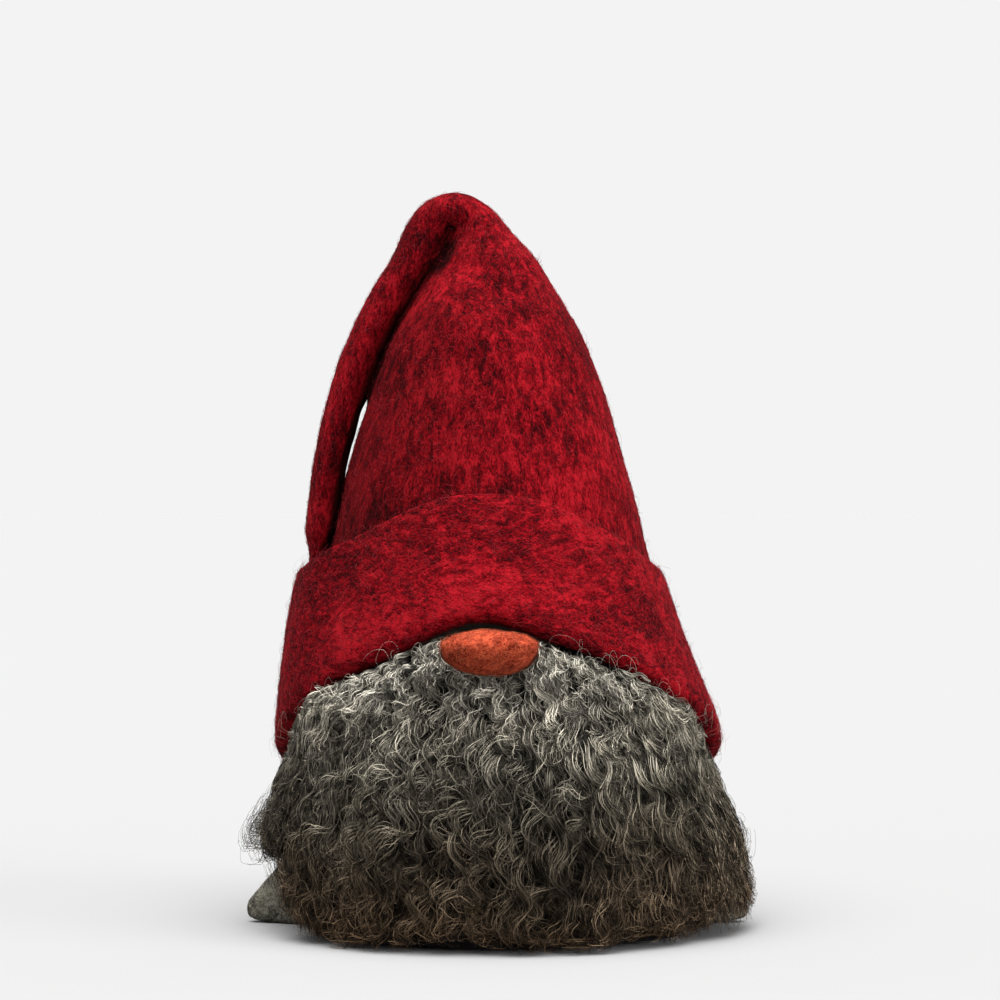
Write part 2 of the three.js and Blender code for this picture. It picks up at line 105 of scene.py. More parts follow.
def lumps(points, cell, seed):
    """Smooth noise from -1 to 1 at points, with about one lump to a cell of that size."""
    grid = points / cell + seed * 7.31
    base = np.floor(grid).astype(np.int64)
    part = smooth(grid - base)
    total = np.zeros(len(points))
    for corner in np.ndindex(2, 2, 2):
        node = base + np.array(corner)
        mixed = node[:, 0] * 73856093 ^ node[:, 1] * 19349663 ^ node[:, 2] * 83492791
        mixed = (mixed ^ (mixed >> 13)) * 1274126177 & 0xFFFFFFFF
        value = ((mixed ^ (mixed >> 15)) & 0xFFFF) / 32767.5 - 1
        total += value * np.prod(np.where(np.array(corner) == 1, part, 1 - part), axis=1)
    return total


# --- Meshes ------------------------------------------------------------------------------------

def mesh_points(mesh):
    points = np.empty(len(mesh.vertices) * 3, np.float32)
    mesh.vertices.foreach_get("co", points)
    return points.reshape(-1, 3).astype(float)


def mesh_normals(mesh):
    normals = np.empty(len(mesh.vertices) * 3, np.float32)
    mesh.vertex_normals.foreach_get("vector", normals)
    return normals.reshape(-1, 3).astype(float)


def set_points(mesh, points):
    mesh.vertices.foreach_set("co", points.astype(np.float32).ravel())
    mesh.update()


def keep_above(mesh, height):
    points = mesh_points(mesh)
    points[:, 2] = np.maximum(points[:, 2], height)
    set_points(mesh, points)


def add_object(name, mesh, material):
    piece = bpy.data.objects.new(name, mesh)
    bpy.context.scene.collection.objects.link(piece)
    mesh.materials.clear()
    mesh.materials.append(material)
    return piece


def cad_cage(*nodes):
    """CAD nodes welded into one bmesh. A face's material index tells which node it comes from."""
    cage = bmesh.new()
    for index, node in enumerate(nodes):
        known = len(cage.faces)
        cage.from_mesh(frame["nodes"][node].data)
        cage.faces.ensure_lookup_table()
        for face in cage.faces[known:]:
            face.material_index = index
    bmesh.ops.remove_doubles(cage, verts=cage.verts, dist=0.02 * MM)
    return cage


def to_quads(cage):
    """Joins the CAD mesh's pairs of triangles into the four-sided faces that they came from."""
    bmesh.ops.join_triangles(
        cage, faces=cage.faces, cmp_materials=True,
        angle_face_threshold=math.radians(60), angle_shape_threshold=math.radians(100),
    )


def refined(cage, name, levels):
    """The cage as a smooth subdivided mesh that still passes through the cage's own points."""
    mesh = bpy.data.meshes.new(name + "_cage")
    cage.to_mesh(mesh)
    cage.free()
    piece = bpy.data.objects.new(name + "_cage", mesh)
    bpy.context.scene.collection.objects.link(piece)
    surface = piece.modifiers.new("surface", "SUBSURF")
    surface.levels = levels
    wanted = mesh_points(mesh)
    held = wanted.copy()
    # Each pass but the last, which only measures, puts right that share of the shortfall.
    for share in (0.9, 0.8, 0.0):
        fine = evaluated(piece, name)
        if share:
            held += share * (wanted - mesh_points(fine)[:len(held)])
            set_points(mesh, held)
            bpy.data.meshes.remove(fine)
    bpy.data.objects.remove(piece)
    bpy.data.meshes.remove(mesh)
    return fine


def evaluated(piece, name):
    graph = bpy.context.evaluated_depsgraph_get()
    fine = bpy.data.meshes.new_from_object(piece.evaluated_get(graph))
    fine.name = name
    return fine


def smooth_copy(node, name, material, levels):
    """A finer copy of a CAD node that doesn't sag below the node's own foot."""
    cage = cad_cage(node)
    to_quads(cage)
    mesh = refined(cage, name, levels)
    keep_above(mesh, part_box(node)[0].z)
    mesh.shade_smooth()
    return add_object(name, mesh, material)


def swell(piece, layers, seed):
    """Pushes a piece's surface in and out by layers of lumps: (cell, height) in millimetres."""
    points = mesh_points(piece.data)
    shift = np.zeros(len(points))
    for number, (cell, height) in enumerate(layers):
        shift += height * MM * lumps(points, cell * MM, seed + number)
    set_points(piece.data, points + mesh_normals(piece.data) * shift[:, None])


# Sides of a hair's tube.
SIDES = 3


def strand_map(mesh, corners, strands, points):
    """Gives each strand its own small cell of the bake's map, with a margin round it."""
    columns = math.ceil(math.sqrt(strands))
    index = corners // (points * SIDES)
    step = corners // SIDES % points
    cell_u = index % columns + 0.15 + 0.7 * (corners % SIDES) / (SIDES - 1)
    cell_v = index // columns + 0.05 + 0.9 * step / (points - 1)
    layer = mesh.uv_layers.new(name="OFBake")
    flat = np.stack([cell_u, cell_v], -1) / columns
    layer.data.foreach_set("uv", flat.astype(np.float32).ravel())


def tubes(name, paths, radii, material, tones):
    """One mesh of closed thin tubes. paths is strands x points x 3, and radii fits its first two."""
    strands, points, _ = paths.shape
    run = unit(np.gradient(paths, axis=1))
    across = unit(np.cross(run, np.array([0.36, 0.48, 0.8])))
    over = np.cross(run, across)
    turn = 2 * np.pi * np.arange(SIDES) / SIDES
    ring = np.cos(turn)[:, None] * across[:, :, None] + np.sin(turn)[:, None] * over[:, :, None]
    places = paths[:, :, None] + radii[:, :, None, None] * ring

    start = np.arange(strands)[:, None, None] * points * SIDES
    row = start + np.arange(points - 1)[None, :, None] * SIDES
    side = np.arange(SIDES)[None, None, :]
    beyond = (side + 1) % SIDES
    quads = np.stack([row + side, row + beyond, row + SIDES + beyond, row + SIDES + side], -1)
    quads = quads.reshape(-1, 4)
    first = (start[:, 0] + np.arange(SIDES)[::-1]).reshape(-1)
    last = (start[:, 0] + (points - 1) * SIDES + np.arange(SIDES)).reshape(-1)
    corners = np.concatenate([quads.ravel(), first, last])
    caps = len(quads) * 4 + np.arange(2 * strands) * SIDES
    starts = np.concatenate([np.arange(len(quads)) * 4, caps])

    mesh = bpy.data.meshes.new(name)
    mesh.vertices.add(strands * points * SIDES)
    mesh.vertices.foreach_set("co", places.astype(np.float32).ravel())
    mesh.loops.add(len(corners))
    mesh.loops.foreach_set("vertex_index", corners.astype(np.int32))
    mesh.polygons.add(len(starts))
    mesh.polygons.foreach_set("loop_start", starts.astype(np.int32))
    mesh.update(calc_edges=True)
    mesh.shade_smooth()
    strand_map(mesh, corners, strands, points)
    tone = mesh.attributes.new("tone", "FLOAT", "POINT")
    tone.data.foreach_set("value", np.repeat(tones, SIDES).astype(np.float32))
    return add_object(name, mesh, material)


# --- Materials ---------------------------------------------------------------------------------

class Finish:
    """A material built from nodes round one Principled shader."""

    def __init__(self, name, roughness, **constants):
        self.material = bpy.data.materials.new(name)
        self.material.use_nodes = True
        self.tree = self.material.node_tree
        self.shader = self.tree.nodes["Principled BSDF"]
        self.shader.inputs["Roughness"].default_value = roughness
        for socket, value in constants.items():
            self.shader.inputs[socket.replace("_", " ")].default_value = value
        self.place = self.tree.nodes.new("ShaderNodeTexCoord").outputs["Object"]

    def node(self, kind, inputs, output=0, **settings):
        node = self.tree.nodes.new("ShaderNode" + kind)
        for setting, value in settings.items():
            setattr(node, setting, value)
        for socket, value in inputs.items():
            if isinstance(value, bpy.types.NodeSocket):
                self.tree.links.new(value, node.inputs[socket])
            else:
                node.inputs[socket].default_value = value
        return node.outputs[output]

    def math(self, operation, first, second=0.0):
        return self.node("Math", {0: first, 1: second}, operation=operation)

    def stretched(self, scale):
        return self.node("Mapping", {"Vector": self.place, "Scale": scale})

    def noise(self, scale, detail, rough, vector=None, bend=0.0):
        inputs = {"Vector": vector or self.place, "Scale": scale, "Detail": detail}
        return self.node("TexNoise", {**inputs, "Roughness": rough, "Distortion": bend})

    def bands(self, scale, bend, direction):
        inputs = {"Vector": self.place, "Scale": scale, "Distortion": bend}
        return self.node("TexWave", inputs, output=1, bands_direction=direction)

    def attribute(self, name):
        return self.node("Attribute", {}, output=2, attribute_name=name)

    def along(self, axis):
        """The place along X, Y or Z, which are axes 0, 1 and 2."""
        return self.node("SeparateXYZ", {0: self.place}, output=axis)

    def ranged(self, value, low, high, first=0.0, last=1.0):
        """Runs from first to last while the value goes from low to high."""
        return self.node("MapRange", {0: value, 1: low, 2: high, 3: first, 4: last})

    def total(self, *parts, centre=0.0, start=0.0):
        """start plus the (value, weight) parts, whose values are counted from centre."""
        summed = None
        for value, weight in parts:
            if centre:
                value = self.math("SUBTRACT", value, centre)
            part = self.math("MULTIPLY", value, weight)
            summed = part if summed is None else self.math("ADD", summed, part)
        return self.math("ADD", summed, start) if start else summed

    def ramp(self, factor, stops):
        node = self.tree.nodes.new("ShaderNodeValToRGB")
        self.tree.links.new(factor, node.inputs[0])
        elements = node.color_ramp.elements
        while len(elements) < len(stops):
            elements.new(0.5)
        for element, (position, color) in zip(elements, stops):
            element.position = position
            element.color = (*color, 1)
        return node.outputs[0]

    def mix(self, factor, first, second, blend="MIX"):
        first, second = (color if isinstance(color, bpy.types.NodeSocket) else (*color, 1)
                         for color in (first, second))
        inputs = {0: factor, 6: first, 7: second}
        return self.node("Mix", inputs, output=2, data_type="RGBA", blend_type=blend)

    def done(self, color, height=None, depth=0.3 * MM, strength=0.5):
        self.tree.links.new(color, self.shader.inputs["Base Color"])
        if height is not None:
            bump = self.node("Bump", {"Height": height, "Distance": depth, "Strength": strength})
            self.tree.links.new(bump, self.shader.inputs["Normal"])
        return self.material


# Painted shade on the hat's left side, away from the key light: it fades out across the first stretch,
# and up the second.
LEFT_SHADE_ACROSS = (-75 * MM, 12 * MM)
LEFT_SHADE_UP = (270 * MM, 310 * MM)
LEFT_SHADE_TINT = (0.12, 0.08, 0.08)
# Colour of the painted shade in the creases and under the fold.
CREASE_SHADE = (0.002, 0.0002, 0.0002)


def curved_fibres(look, lie):
    """Thin lines where a curled noise crosses its middle."""
    curl = look.noise(420, 1, 0.4, vector=lie, bend=2.4)
    line = look.math("ABSOLUTE", look.math("SUBTRACT", curl, 0.5))
    return look.ranged(line, 0.0, 0.03, 1.0, 0.0)


# Painted shade: darkens the felt's left side by the tint above, fully below the second stretch.
def shade_left_side(look, color, strength):
    side = look.ranged(look.along(0), *LEFT_SHADE_ACROSS, strength, 0.0)
    lower = look.ranged(look.along(2), *LEFT_SHADE_UP, 1.0, 0.0)
    return look.mix(look.math("MULTIPLY", side, lower), color, LEFT_SHADE_TINT, "MULTIPLY")


def felt(name, dark, middle, bright, grain=(1, 1, 1), left_shade=0.0, crease_shaded=False):
    """Fulled wool: mottled cloudy colour, and a mat of fine curved fibres."""
    look = Finish(name, 0.95, Sheen_Weight=0.03, Sheen_Roughness=0.4, Sheen_Tint=(*bright, 1),
                  Specular_IOR_Level=0.03)
    lie = look.stretched(grain)
    clouds = look.noise(26, 4, 0.6)
    mottle = look.noise(240, 4, 0.7, vector=lie, bend=0.6)
    fine = look.noise(760, 2, 0.6, vector=lie, bend=1.2)
    hairs = look.noise(1500, 2, 0.6, vector=lie, bend=0.5)
    share = look.total((mottle, 2.1), (clouds, 1.5), (fine, 1.3), (hairs, 1.2), centre=0.5, start=0.5)
    color = look.ramp(share, [(0.1, dark), (0.5, middle), (0.95, bright)])
    color = look.mix(look.math("MULTIPLY", curved_fibres(look, lie), 0.25), color, bright)
    # Painted shade on the left side.
    if left_shade:
        color = shade_left_side(look, color, left_shade)
    # Painted shade in the creases between tail and crown, and under the fold.
    if crease_shaded:
        crease_shade = look.math("MULTIPLY", look.attribute("crease_shade"), 0.93)
        color = look.mix(crease_shade, color, CREASE_SHADE)
    relief = look.total((fine, 1.0), (mottle, 0.5), (hairs, 0.5))
    return look.done(color, relief, 1.0 * MM, 0.6)


def wool(name, low, high, roughness, specular):
    """Single wool hairs, from a dark tone to a light one by each strand's own tone."""
    look = Finish(name, roughness, Specular_IOR_Level=specular)
    streak = look.total((look.noise(160, 2, 0.6), 0.5), centre=0.5)
    share = look.math("ADD", look.attribute("tone"), streak)
    return look, look.mix(look.node("Clamp", {0: share}), low, high)


def beard_wool():
    """Grey wool, silver under the hat, darker below and brown towards the floor."""
    look, color = wool("beard_wool", (0.005, 0.0042, 0.003), (0.93, 0.885, 0.78), 0.36, 0.04)
    patch = look.total((look.noise(26, 3, 0.6), 0.05), centre=0.5)
    level = look.ranged(look.math("ADD", look.along(2), patch), 0.0, 140 * MM)
    tint = look.ramp(level, [
        (0.03, (0.26, 0.175, 0.115)), (0.3, (0.27, 0.225, 0.18)), (0.5, (0.36, 0.335, 0.29)),
        (0.72, (0.84, 0.81, 0.74)), (0.85, (1.0, 0.985, 0.94)),
    ])
    return look.done(look.mix(1.0, color, tint, "MULTIPLY"))


def fuzz(name, dark, bright):
    """The felt's own loose fibres."""
    look, color = wool(name, dark, bright, 0.8, 0.12)
    return look.done(color)


def weave(name, dark, light):
    """Plain woven cotton."""
    look = Finish(name, 0.85, Sheen_Weight=0.15)
    cloth = look.math("MULTIPLY", look.bands(1100, 0.6, "X"), look.bands(1100, 0.6, "Z"))
    slub = look.noise(90, 4, 0.7, vector=look.stretched((1, 1, 6)))
    share = look.total((cloth, 0.5), (slub, 0.6))
    return look.done(look.mix(share, dark, light), share, 0.3 * MM, 0.5)


def wadding():
    look = Finish("wadding", 0.95, Sheen_Weight=0.3)
    share = look.total((look.noise(260, 5, 0.75, bend=1.8), 0.6), (look.noise(45, 3, 0.6), 0.4))
    return look.done(look.ramp(share, [(0.3, (0.48, 0.45, 0.4)), (0.7, (0.86, 0.84, 0.8))]),
                     share, 2 * MM, 0.8)


def suede():
    look = Finish("hide", 0.82, Sheen_Weight=0.25)
    nap = look.noise(600, 4, 0.7)
    share = look.total((nap, 0.4), (look.noise(24, 4, 0.6), 0.6))
    return look.done(look.ramp(share, [(0.3, (0.05, 0.042, 0.034)), (0.7, (0.12, 0.1, 0.08))]),
                     nap, 0.4 * MM, 0.5)


def plywood():
    look = Finish("plywood", 0.6)
    grain = look.noise(60, 6, 0.65, vector=look.stretched((0.25, 3, 1)), bend=0.8)
    share = look.total((grain, 0.75), (look.bands(190, 0.4, "Z"), 0.25))
    return look.done(look.ramp(share, [(0.3, (0.36, 0.2, 0.09)), (0.7, (0.68, 0.47, 0.26))]),
                     grain, 0.2 * MM, 0.3)


def sand():
    look = Finish("sand", 0.9)
    grains = look.node("TexVoronoi", {"Vector": look.place, "Scale": 1400})
    shade = look.node("TexVoronoi", {"Vector": look.place, "Scale": 1400}, output=1)
    share = look.node("SeparateXYZ", {0: shade})
    return look.done(look.ramp(share, [(0.1, (0.3, 0.22, 0.13)), (0.9, (0.66, 0.55, 0.38))]),
                     grains, 0.5 * MM, 0.8)


def twine():
    look = Finish("twine", 0.8, Sheen_Weight=0.15)
    share = look.total((look.bands(420, 1.5, "DIAGONAL"), 0.6), (look.noise(900, 3, 0.7), 0.4))
    return look.done(look.mix(share, (0.26, 0.18, 0.1), (0.62, 0.5, 0.32)), share, 0.3 * MM, 0.8)


RED_DARK = (0.012, 0.0002, 0.0006)
RED_MIDDLE = (0.084, 0.0005, 0.0022)
RED_BRIGHT = (0.215, 0.0042, 0.008)
# The crown's felt carries painted shade on its left side, and crown and tip felts carry painted shade
# in their creases.
CROWN_FELT = felt("red_felt_crown", RED_DARK, RED_MIDDLE, RED_BRIGHT, (1, 1, 0.35), 0.65, True)
TIP_FELT = felt("red_felt_tip", RED_DARK, RED_MIDDLE, RED_BRIGHT, (1, 1, 0.35), crease_shaded=True)
CUFF_FELT = felt("red_felt_cuff", RED_DARK, RED_MIDDLE, RED_BRIGHT, (0.6, 0.6, 1.1))
NOSE_FELT = felt("orange_felt", (0.05, 0.005, 0.002), (0.19, 0.022, 0.009), (0.37, 0.062, 0.027))
GREY_FELT = felt("grey_felt", (0.018, 0.0165, 0.013), (0.07, 0.066, 0.052), (0.165, 0.155, 0.125))
RED_FUZZ = fuzz("red_fuzz", (0.03, 0.0005, 0.0015), (0.27, 0.012, 0.018))
NOSE_FUZZ = fuzz("orange_fuzz", (0.12, 0.015, 0.007), (0.48, 0.11, 0.05))
GREY_FUZZ = fuzz("grey_fuzz", (0.02, 0.018, 0.015), (0.3, 0.29, 0.25))
BEARD_WOOL = beard_wool()
# A near-black felt for the painted shade deep in the beard.
FLEECE_SHADE = felt("fleece_shade", (0.004, 0.004, 0.0035), (0.012, 0.011, 0.01), (0.03, 0.028, 0.025))
CALICO = weave("calico", (0.27, 0.22, 0.15), (0.5, 0.44, 0.34))
WADDING = wadding()
SUEDE = suede()
PLYWOOD = plywood()
SAND = sand()
TWINE = twine()


# --- Loose fibres on felt ----------------------------------------------------------------------

def surface_samples(piece, count, seed, keep=None):
    """Points, normals and a tangent, spread evenly over a piece's faces."""
    mesh = piece.data
    mesh.calc_loop_triangles()
    corners = np.empty(len(mesh.loop_triangles) * 3, np.int32)
    mesh.loop_triangles.foreach_get("vertices", corners)
    points = mesh_points(mesh)[corners.reshape(-1, 3)]
    normals = mesh_normals(mesh)[corners.reshape(-1, 3)]
    area = np.linalg.norm(np.cross(points[:, 1] - points[:, 0], points[:, 2] - points[:, 0]), axis=1)
    if keep is not None:
        area = area * keep(points.mean(1), unit(normals.mean(1)))
    random = np.random.default_rng(seed)
    chosen = random.choice(len(area), count, p=area / area.sum())
    share = random.dirichlet((1, 1, 1), count)[:, :, None]
    normal = unit((normals[chosen] * share).sum(1))
    tangent = unit(np.cross(normal, unit(random.normal(size=(count, 3)))))
    return (points[chosen] * share).sum(1), normal, tangent


# Points along a fibre of the nap, and how deep its root is sunk in the felt.
NAP_POINTS = 4
NAP_ROOT = 0.25 * MM


def fibres(name, piece, count, material, length, lift, thickness, seed, keep=None):
    """Short curved hairs that leave the felt and lie back over it. Sizes are in millimetres."""
    random = np.random.default_rng(seed + 100)
    root, normal, tangent = surface_samples(piece, count, seed, keep)
    side = np.cross(normal, tangent)
    span = random.uniform(*np.array(length) * MM, count)
    bend = random.normal(0, 1.6, count)
    rise = random.uniform(*np.array(lift) * MM, count)
    step = np.linspace(0, 1, NAP_POINTS)
    angle = bend[:, None] * step
    safe = np.where(np.abs(bend) < 0.05, 0.05, bend)[:, None]
    forward = np.sin(angle) / safe
    aside = (1 - np.cos(angle)) / safe
    arch = np.sin(np.pi * step ** 0.8)[None] * rise[:, None] - NAP_ROOT * (1 - step)
    paths = root[:, None] + span[:, None, None] * (
        forward[..., None] * tangent[:, None] + aside[..., None] * side[:, None])
    paths = paths + arch[..., None] * normal[:, None]
    radii = thickness * MM * (1 - 0.6 * step)[None] * random.uniform(0.7, 1.2, count)[:, None]
    tones = np.repeat(random.uniform(0, 1, count), NAP_POINTS)
    return tubes(name, paths, radii, material, tones)


# --- Hat ---------------------------------------------------------------------------------------

# The tail's half of the hat is the felt beyond this side and above this height.
TAIL_SIDE = SWING_AXIS[0] - 6 * MM
TAIL_FOOT = 0.43 * CAD_HIGH.z
# Widest gap between tail and crown that is pressed shut.
TAIL_GAP_MAX = 6 * MM
# Below this the tail is tucked behind the cuff, and is that much thinner, to leave it room to swing.
TUCK_TOP = 0.54 * CAD_HIGH.z
TUCK_CLEAR = 1.8 * MM
# Middle, slant and half sizes of the patch of painted shade where the tail leaves the fold, seen from
# the face.
FOLD_PIT = (CAD_LOW.x + 94.5 * MM, CROWN_TOP + 2 * MM)
FOLD_SLANT = math.radians(33)
FOLD_PIT_SIZE = (9 * MM, 3.6 * MM)
# Felt that faces felt across less than this gets painted shade, the dark of the crease.
CREASE_GAP = 10 * MM
# Lowest and highest point of the daylight between tail and crown.
SLOT = (0.597 * CAD_HIGH.z, 0.722 * CAD_HIGH.z)
# Soft dents of the crown's face: x, z, width and depth in millimetres.
CROWN_DENTS = [(2, 300, 9, 2.2), (-14, 312, 8, 2.6), (10, 284, 10, 1.4), (-20, 262, 12, 1.2)]


def open_fold(cage):
    """Takes the end faces out from between crown and tail, and welds their rims together."""
    rim = [v for v in cage.verts if abs(v.co.z - CROWN_TOP) < 0.6 * MM
           and math.hypot(v.co.x - SWING_AXIS[0], v.co.y - SWING_AXIS[1]) < 26 * MM]
    joined = set(rim)
    ends = [f for f in cage.faces if all(v in joined for v in f.verts)]
    bmesh.ops.delete(cage, geom=ends, context="FACES_ONLY")
    bmesh.ops.remove_doubles(cage, verts=rim, dist=0.8 * MM)


def hat_relief(points, normals):
    """How far the felt stands out of the smooth cone, in lumps of four sizes and the dents."""
    relief = 1.1 * MM * lumps(points, 42 * MM, 3) + 0.5 * MM * lumps(points, 17 * MM, 4)
    for x, z, wide, deep in CROWN_DENTS:
        place = np.array([x, -40, z]) * MM
        away = np.linalg.norm((points - place) / np.array([wide, 60, wide * 0.7]) / MM, axis=1)
        relief -= deep * MM * np.exp(-away ** 2) * (normals[:, 1] < 0)
    relief += 0.16 * MM * lumps(points, 5 * MM, 5) + 0.09 * MM * lumps(points, 2.4 * MM, 6)
    return relief


def hat_cone():
    """Crown and folded tip, smoothed as one piece of felt, to be parted at the swing."""
    cage = cad_cage("hat_crown", "hat_tip")
    open_fold(cage)
    to_quads(cage)
    mesh = refined(cage, "hat_cone", 3)
    points, normals = mesh_points(mesh), mesh_normals(mesh)
    tucked = smooth((TUCK_TOP - points[:, 2]) / (14 * MM)) * (points[:, 0] < TAIL_SIDE)
    tucked = tucked * on_node(mesh, 1)
    shift = hat_relief(points, normals) * (1 - tucked) - TUCK_CLEAR * tucked
    set_points(mesh, points + normals * shift[:, None])
    press_tail(mesh)
    return mesh


def on_node(mesh, index):
    """Which points belong to faces of one of the two CAD nodes."""
    chosen = np.zeros(len(mesh.vertices), bool)
    for face in mesh.polygons:
        if face.material_index == index:
            chosen[list(face.vertices)] = True
    return chosen


def pit_distance(points):
    """Distance from the middle of the painted shade under the fold, 1 on its rim, seen from the face.
    """
    aside, up = points[:, 0] - FOLD_PIT[0], points[:, 2] - FOLD_PIT[1]
    along = aside * math.sin(FOLD_SLANT) + up * math.cos(FOLD_SLANT)
    across = aside * math.cos(FOLD_SLANT) - up * math.sin(FOLD_SLANT)
    return np.hypot(along / FOLD_PIT_SIZE[0], across / FOLD_PIT_SIZE[1])


def press_tail(mesh):
    """Presses tail and crown together but for the slot of daylight, and paints shade into the creases
    and under the fold.
    """
    points, normals = mesh_points(mesh), mesh_normals(mesh)
    tree = BVHTree.FromPolygons(points.tolist(), [tuple(p.vertices) for p in mesh.polygons])
    slot = smooth((points[:, 2] - SLOT[0]) / (9 * MM)) * smooth((SLOT[1] - points[:, 2]) / (9 * MM))
    inner = smooth((points[:, 1] - SWING_AXIS[1] + 9 * MM) / (5 * MM))
    shift, crease_shade = np.zeros(len(points)), np.zeros(len(points))
    # Painted shade on felt that faces other felt across a narrow gap.
    for i in np.flatnonzero((points[:, 0] < TAIL_SIDE) & (points[:, 2] > TAIL_FOOT)):
        origin = points[i] + normals[i] * 0.05 * MM
        hit = tree.ray_cast(Vector(origin), Vector(normals[i]), CREASE_GAP)
        if hit[0] is None or hit[1].dot(Vector(normals[i])) > 0:
            continue
        crease_shade[i] = smooth(1.4 * (CREASE_GAP - hit[3]) / CREASE_GAP)
        if hit[3] < TAIL_GAP_MAX:
            shut = (0.5 * hit[3] + 0.03 * MM) * inner[i]
            shift[i] = shut * (1 - slot[i]) - 0.35 * MM * slot[i]
    set_points(mesh, points + normals * shift[:, None])
    # Painted shade under the fold, where the tail leaves it.
    pit_shade = smooth((1.6 - pit_distance(points)) / 0.9) * (normals[:, 1] < 0.2)
    crease_shade = np.maximum(crease_shade, pit_shade)
    mesh.attributes.new("crease_shade", "FLOAT", "POINT").data.foreach_set("value", crease_shade)


def part_of_cone(mesh, index, name, material):
    """The faces of one CAD node in the shared cone, closed again where it is parted."""
    half = bmesh.new()
    half.from_mesh(mesh)
    others = [f for f in half.faces if f.material_index != index]
    bmesh.ops.delete(half, geom=others, context="FACES")
    open_edges = [e for e in half.edges if e.is_boundary]
    bmesh.ops.bridge_loops(half, edges=open_edges)
    for edge in open_edges:
        edge.smooth = False
    for face in half.faces:
        face.smooth = True
        face.material_index = 0
    part = bpy.data.meshes.new(name)
    half.to_mesh(part)
    half.free()
    return add_object(name, part, material)


def outside_only(points, normals):
    """Weight of faces that look away from the hat's own axis."""
    out = points - np.array([SWING_AXIS[0], SWING_AXIS[1], 0])
    out[:, 2] = 0
    return np.clip((normals * unit(out)).sum(1) + 0.35, 0.0, 1)


def blend_at_swing(piece):
    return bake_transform(piece)


# Nap and stray hairs of the hat: name, felt, count, lengths, lifts and thickness in millimetres,
# and seed.
HAT_NAPS = [
    ("crown_nap_a", "crown_felt", 6500, (2.5, 7), (0.15, 0.8), 0.07, 21),
    ("crown_nap_b", "crown_felt", 6500, (2.5, 7), (0.15, 0.8), 0.07, 26),
    ("tip_nap", "tip_felt", 4500, (2.5, 7), (0.15, 0.8), 0.07, 22),
    ("cuff_nap_a", "cuff_felt", 7000, (2.5, 8), (0.15, 0.9), 0.07, 23),
    ("cuff_nap_b", "cuff_felt", 7000, (2.5, 8), (0.15, 0.9), 0.07, 27),
    ("crown_strays", "crown_felt", 500, (7, 14), (1, 2.4), 0.05, 24),
    ("cuff_strays", "cuff_felt", 800, (7, 16), (1, 3.0), 0.05, 25),
]


def make_hat_naps(crown, tip, cuff):
    felts = {"crown_felt": crown, "tip_felt": tip, "cuff_felt": cuff}
    rides = {"tip_felt": "hat_tip", "cuff_felt": "hat"}
    for name, under, count, length, lift, thickness, seed in HAT_NAPS:
        nap = fibres(name, felts[under], count, RED_FUZZ, length, lift, thickness, seed, outside_only)
        if under in rides:
            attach(nap, rides[under])
        else:
            blend_at_swing(nap)


def make_hat():
    """The hat's three felts and their naps. Gives back the cuff."""
    cone = hat_cone()
    crown = part_of_cone(cone, 0, "crown_felt", CROWN_FELT)
    tip = part_of_cone(cone, 1, "tip_felt", TIP_FELT)
    bpy.data.meshes.remove(cone)
    cuff = smooth_copy("hat_cuff", "cuff_felt", CUFF_FELT, 3)
    swell(cuff, [(48, 1.3), (19, 0.6), (6, 0.2), (2.5, 0.1)], 11)
    for piece, node in ((crown, "hat_crown"), (tip, "hat_tip"), (cuff, "hat_cuff")):
        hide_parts(node)
    make_hat_naps(crown, tip, cuff)
    blend_at_swing(crown)
    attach(tip, "hat_tip")
    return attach(cuff, "hat")


# --- Nose --------------------------------------------------------------------------------------

def make_nose():
    nose = smooth_copy("nose", "nose_felt", NOSE_FELT, 3)
    swell(nose, [(12, 0.7), (4, 0.25), (1.6, 0.12)], 31)
    nap = fibres("nose_nap", nose, 2600, NOSE_FUZZ, (2, 6), (0.1, 0.7), 0.06, 32)
    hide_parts("nose")
    for piece in (nose, nap):
        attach(piece, "figure")


# --- Beard -------------------------------------------------------------------------------------

# The turns to either side and the heights at which the beard's layers are measured.
TURNS = np.radians(np.linspace(-110, 110, 89))
HEIGHTS = np.linspace(0, 175, 59) * MM


def radius_map(node):
    """Distance of a node's outer face from the body's axis, by turn and height."""
    mesh = frame["nodes"][node].data
    tree = BVHTree.FromPolygons([v.co for v in mesh.vertices], [p.vertices for p in mesh.polygons])
    reach = 0.4
    found = np.full((len(TURNS), len(HEIGHTS)), np.nan)
    for i, turn in enumerate(TURNS):
        out = np.array([math.sin(turn), -math.cos(turn), 0])
        for j, height in enumerate(HEIGHTS):
            origin = np.array([BODY_CENTRE.x, BODY_CENTRE.y, height]) + out * reach
            hit = tree.ray_cast(origin, -out, reach)
            if hit[0] is not None:
                found[i, j] = reach - hit[3]
    return found


def filled(table):
    """A radius map whose gaps take the nearest known value of their row, then of their column."""
    table = table.copy()
    for _ in range(2):
        for row in table:
            known = np.flatnonzero(~np.isnan(row))
            if len(known):
                row[:] = np.interp(np.arange(len(row)), known, row[known])
        table = table.T
    return table


def lookup(table, turn, height):
    """Table value at turns and heights, between its samples."""
    u = np.clip((turn - TURNS[0]) / (TURNS[1] - TURNS[0]), 0, len(TURNS) - 1.001)
    v = np.clip(height / (HEIGHTS[1] - HEIGHTS[0]), 0, len(HEIGHTS) - 1.001)
    i, j = u.astype(int), v.astype(int)
    a, b = u - i, v - j
    low = table[i, j] * (1 - b) + table[i, j + 1] * b
    high = table[i + 1, j] * (1 - b) + table[i + 1, j + 1] * b
    return low * (1 - a) + high * a


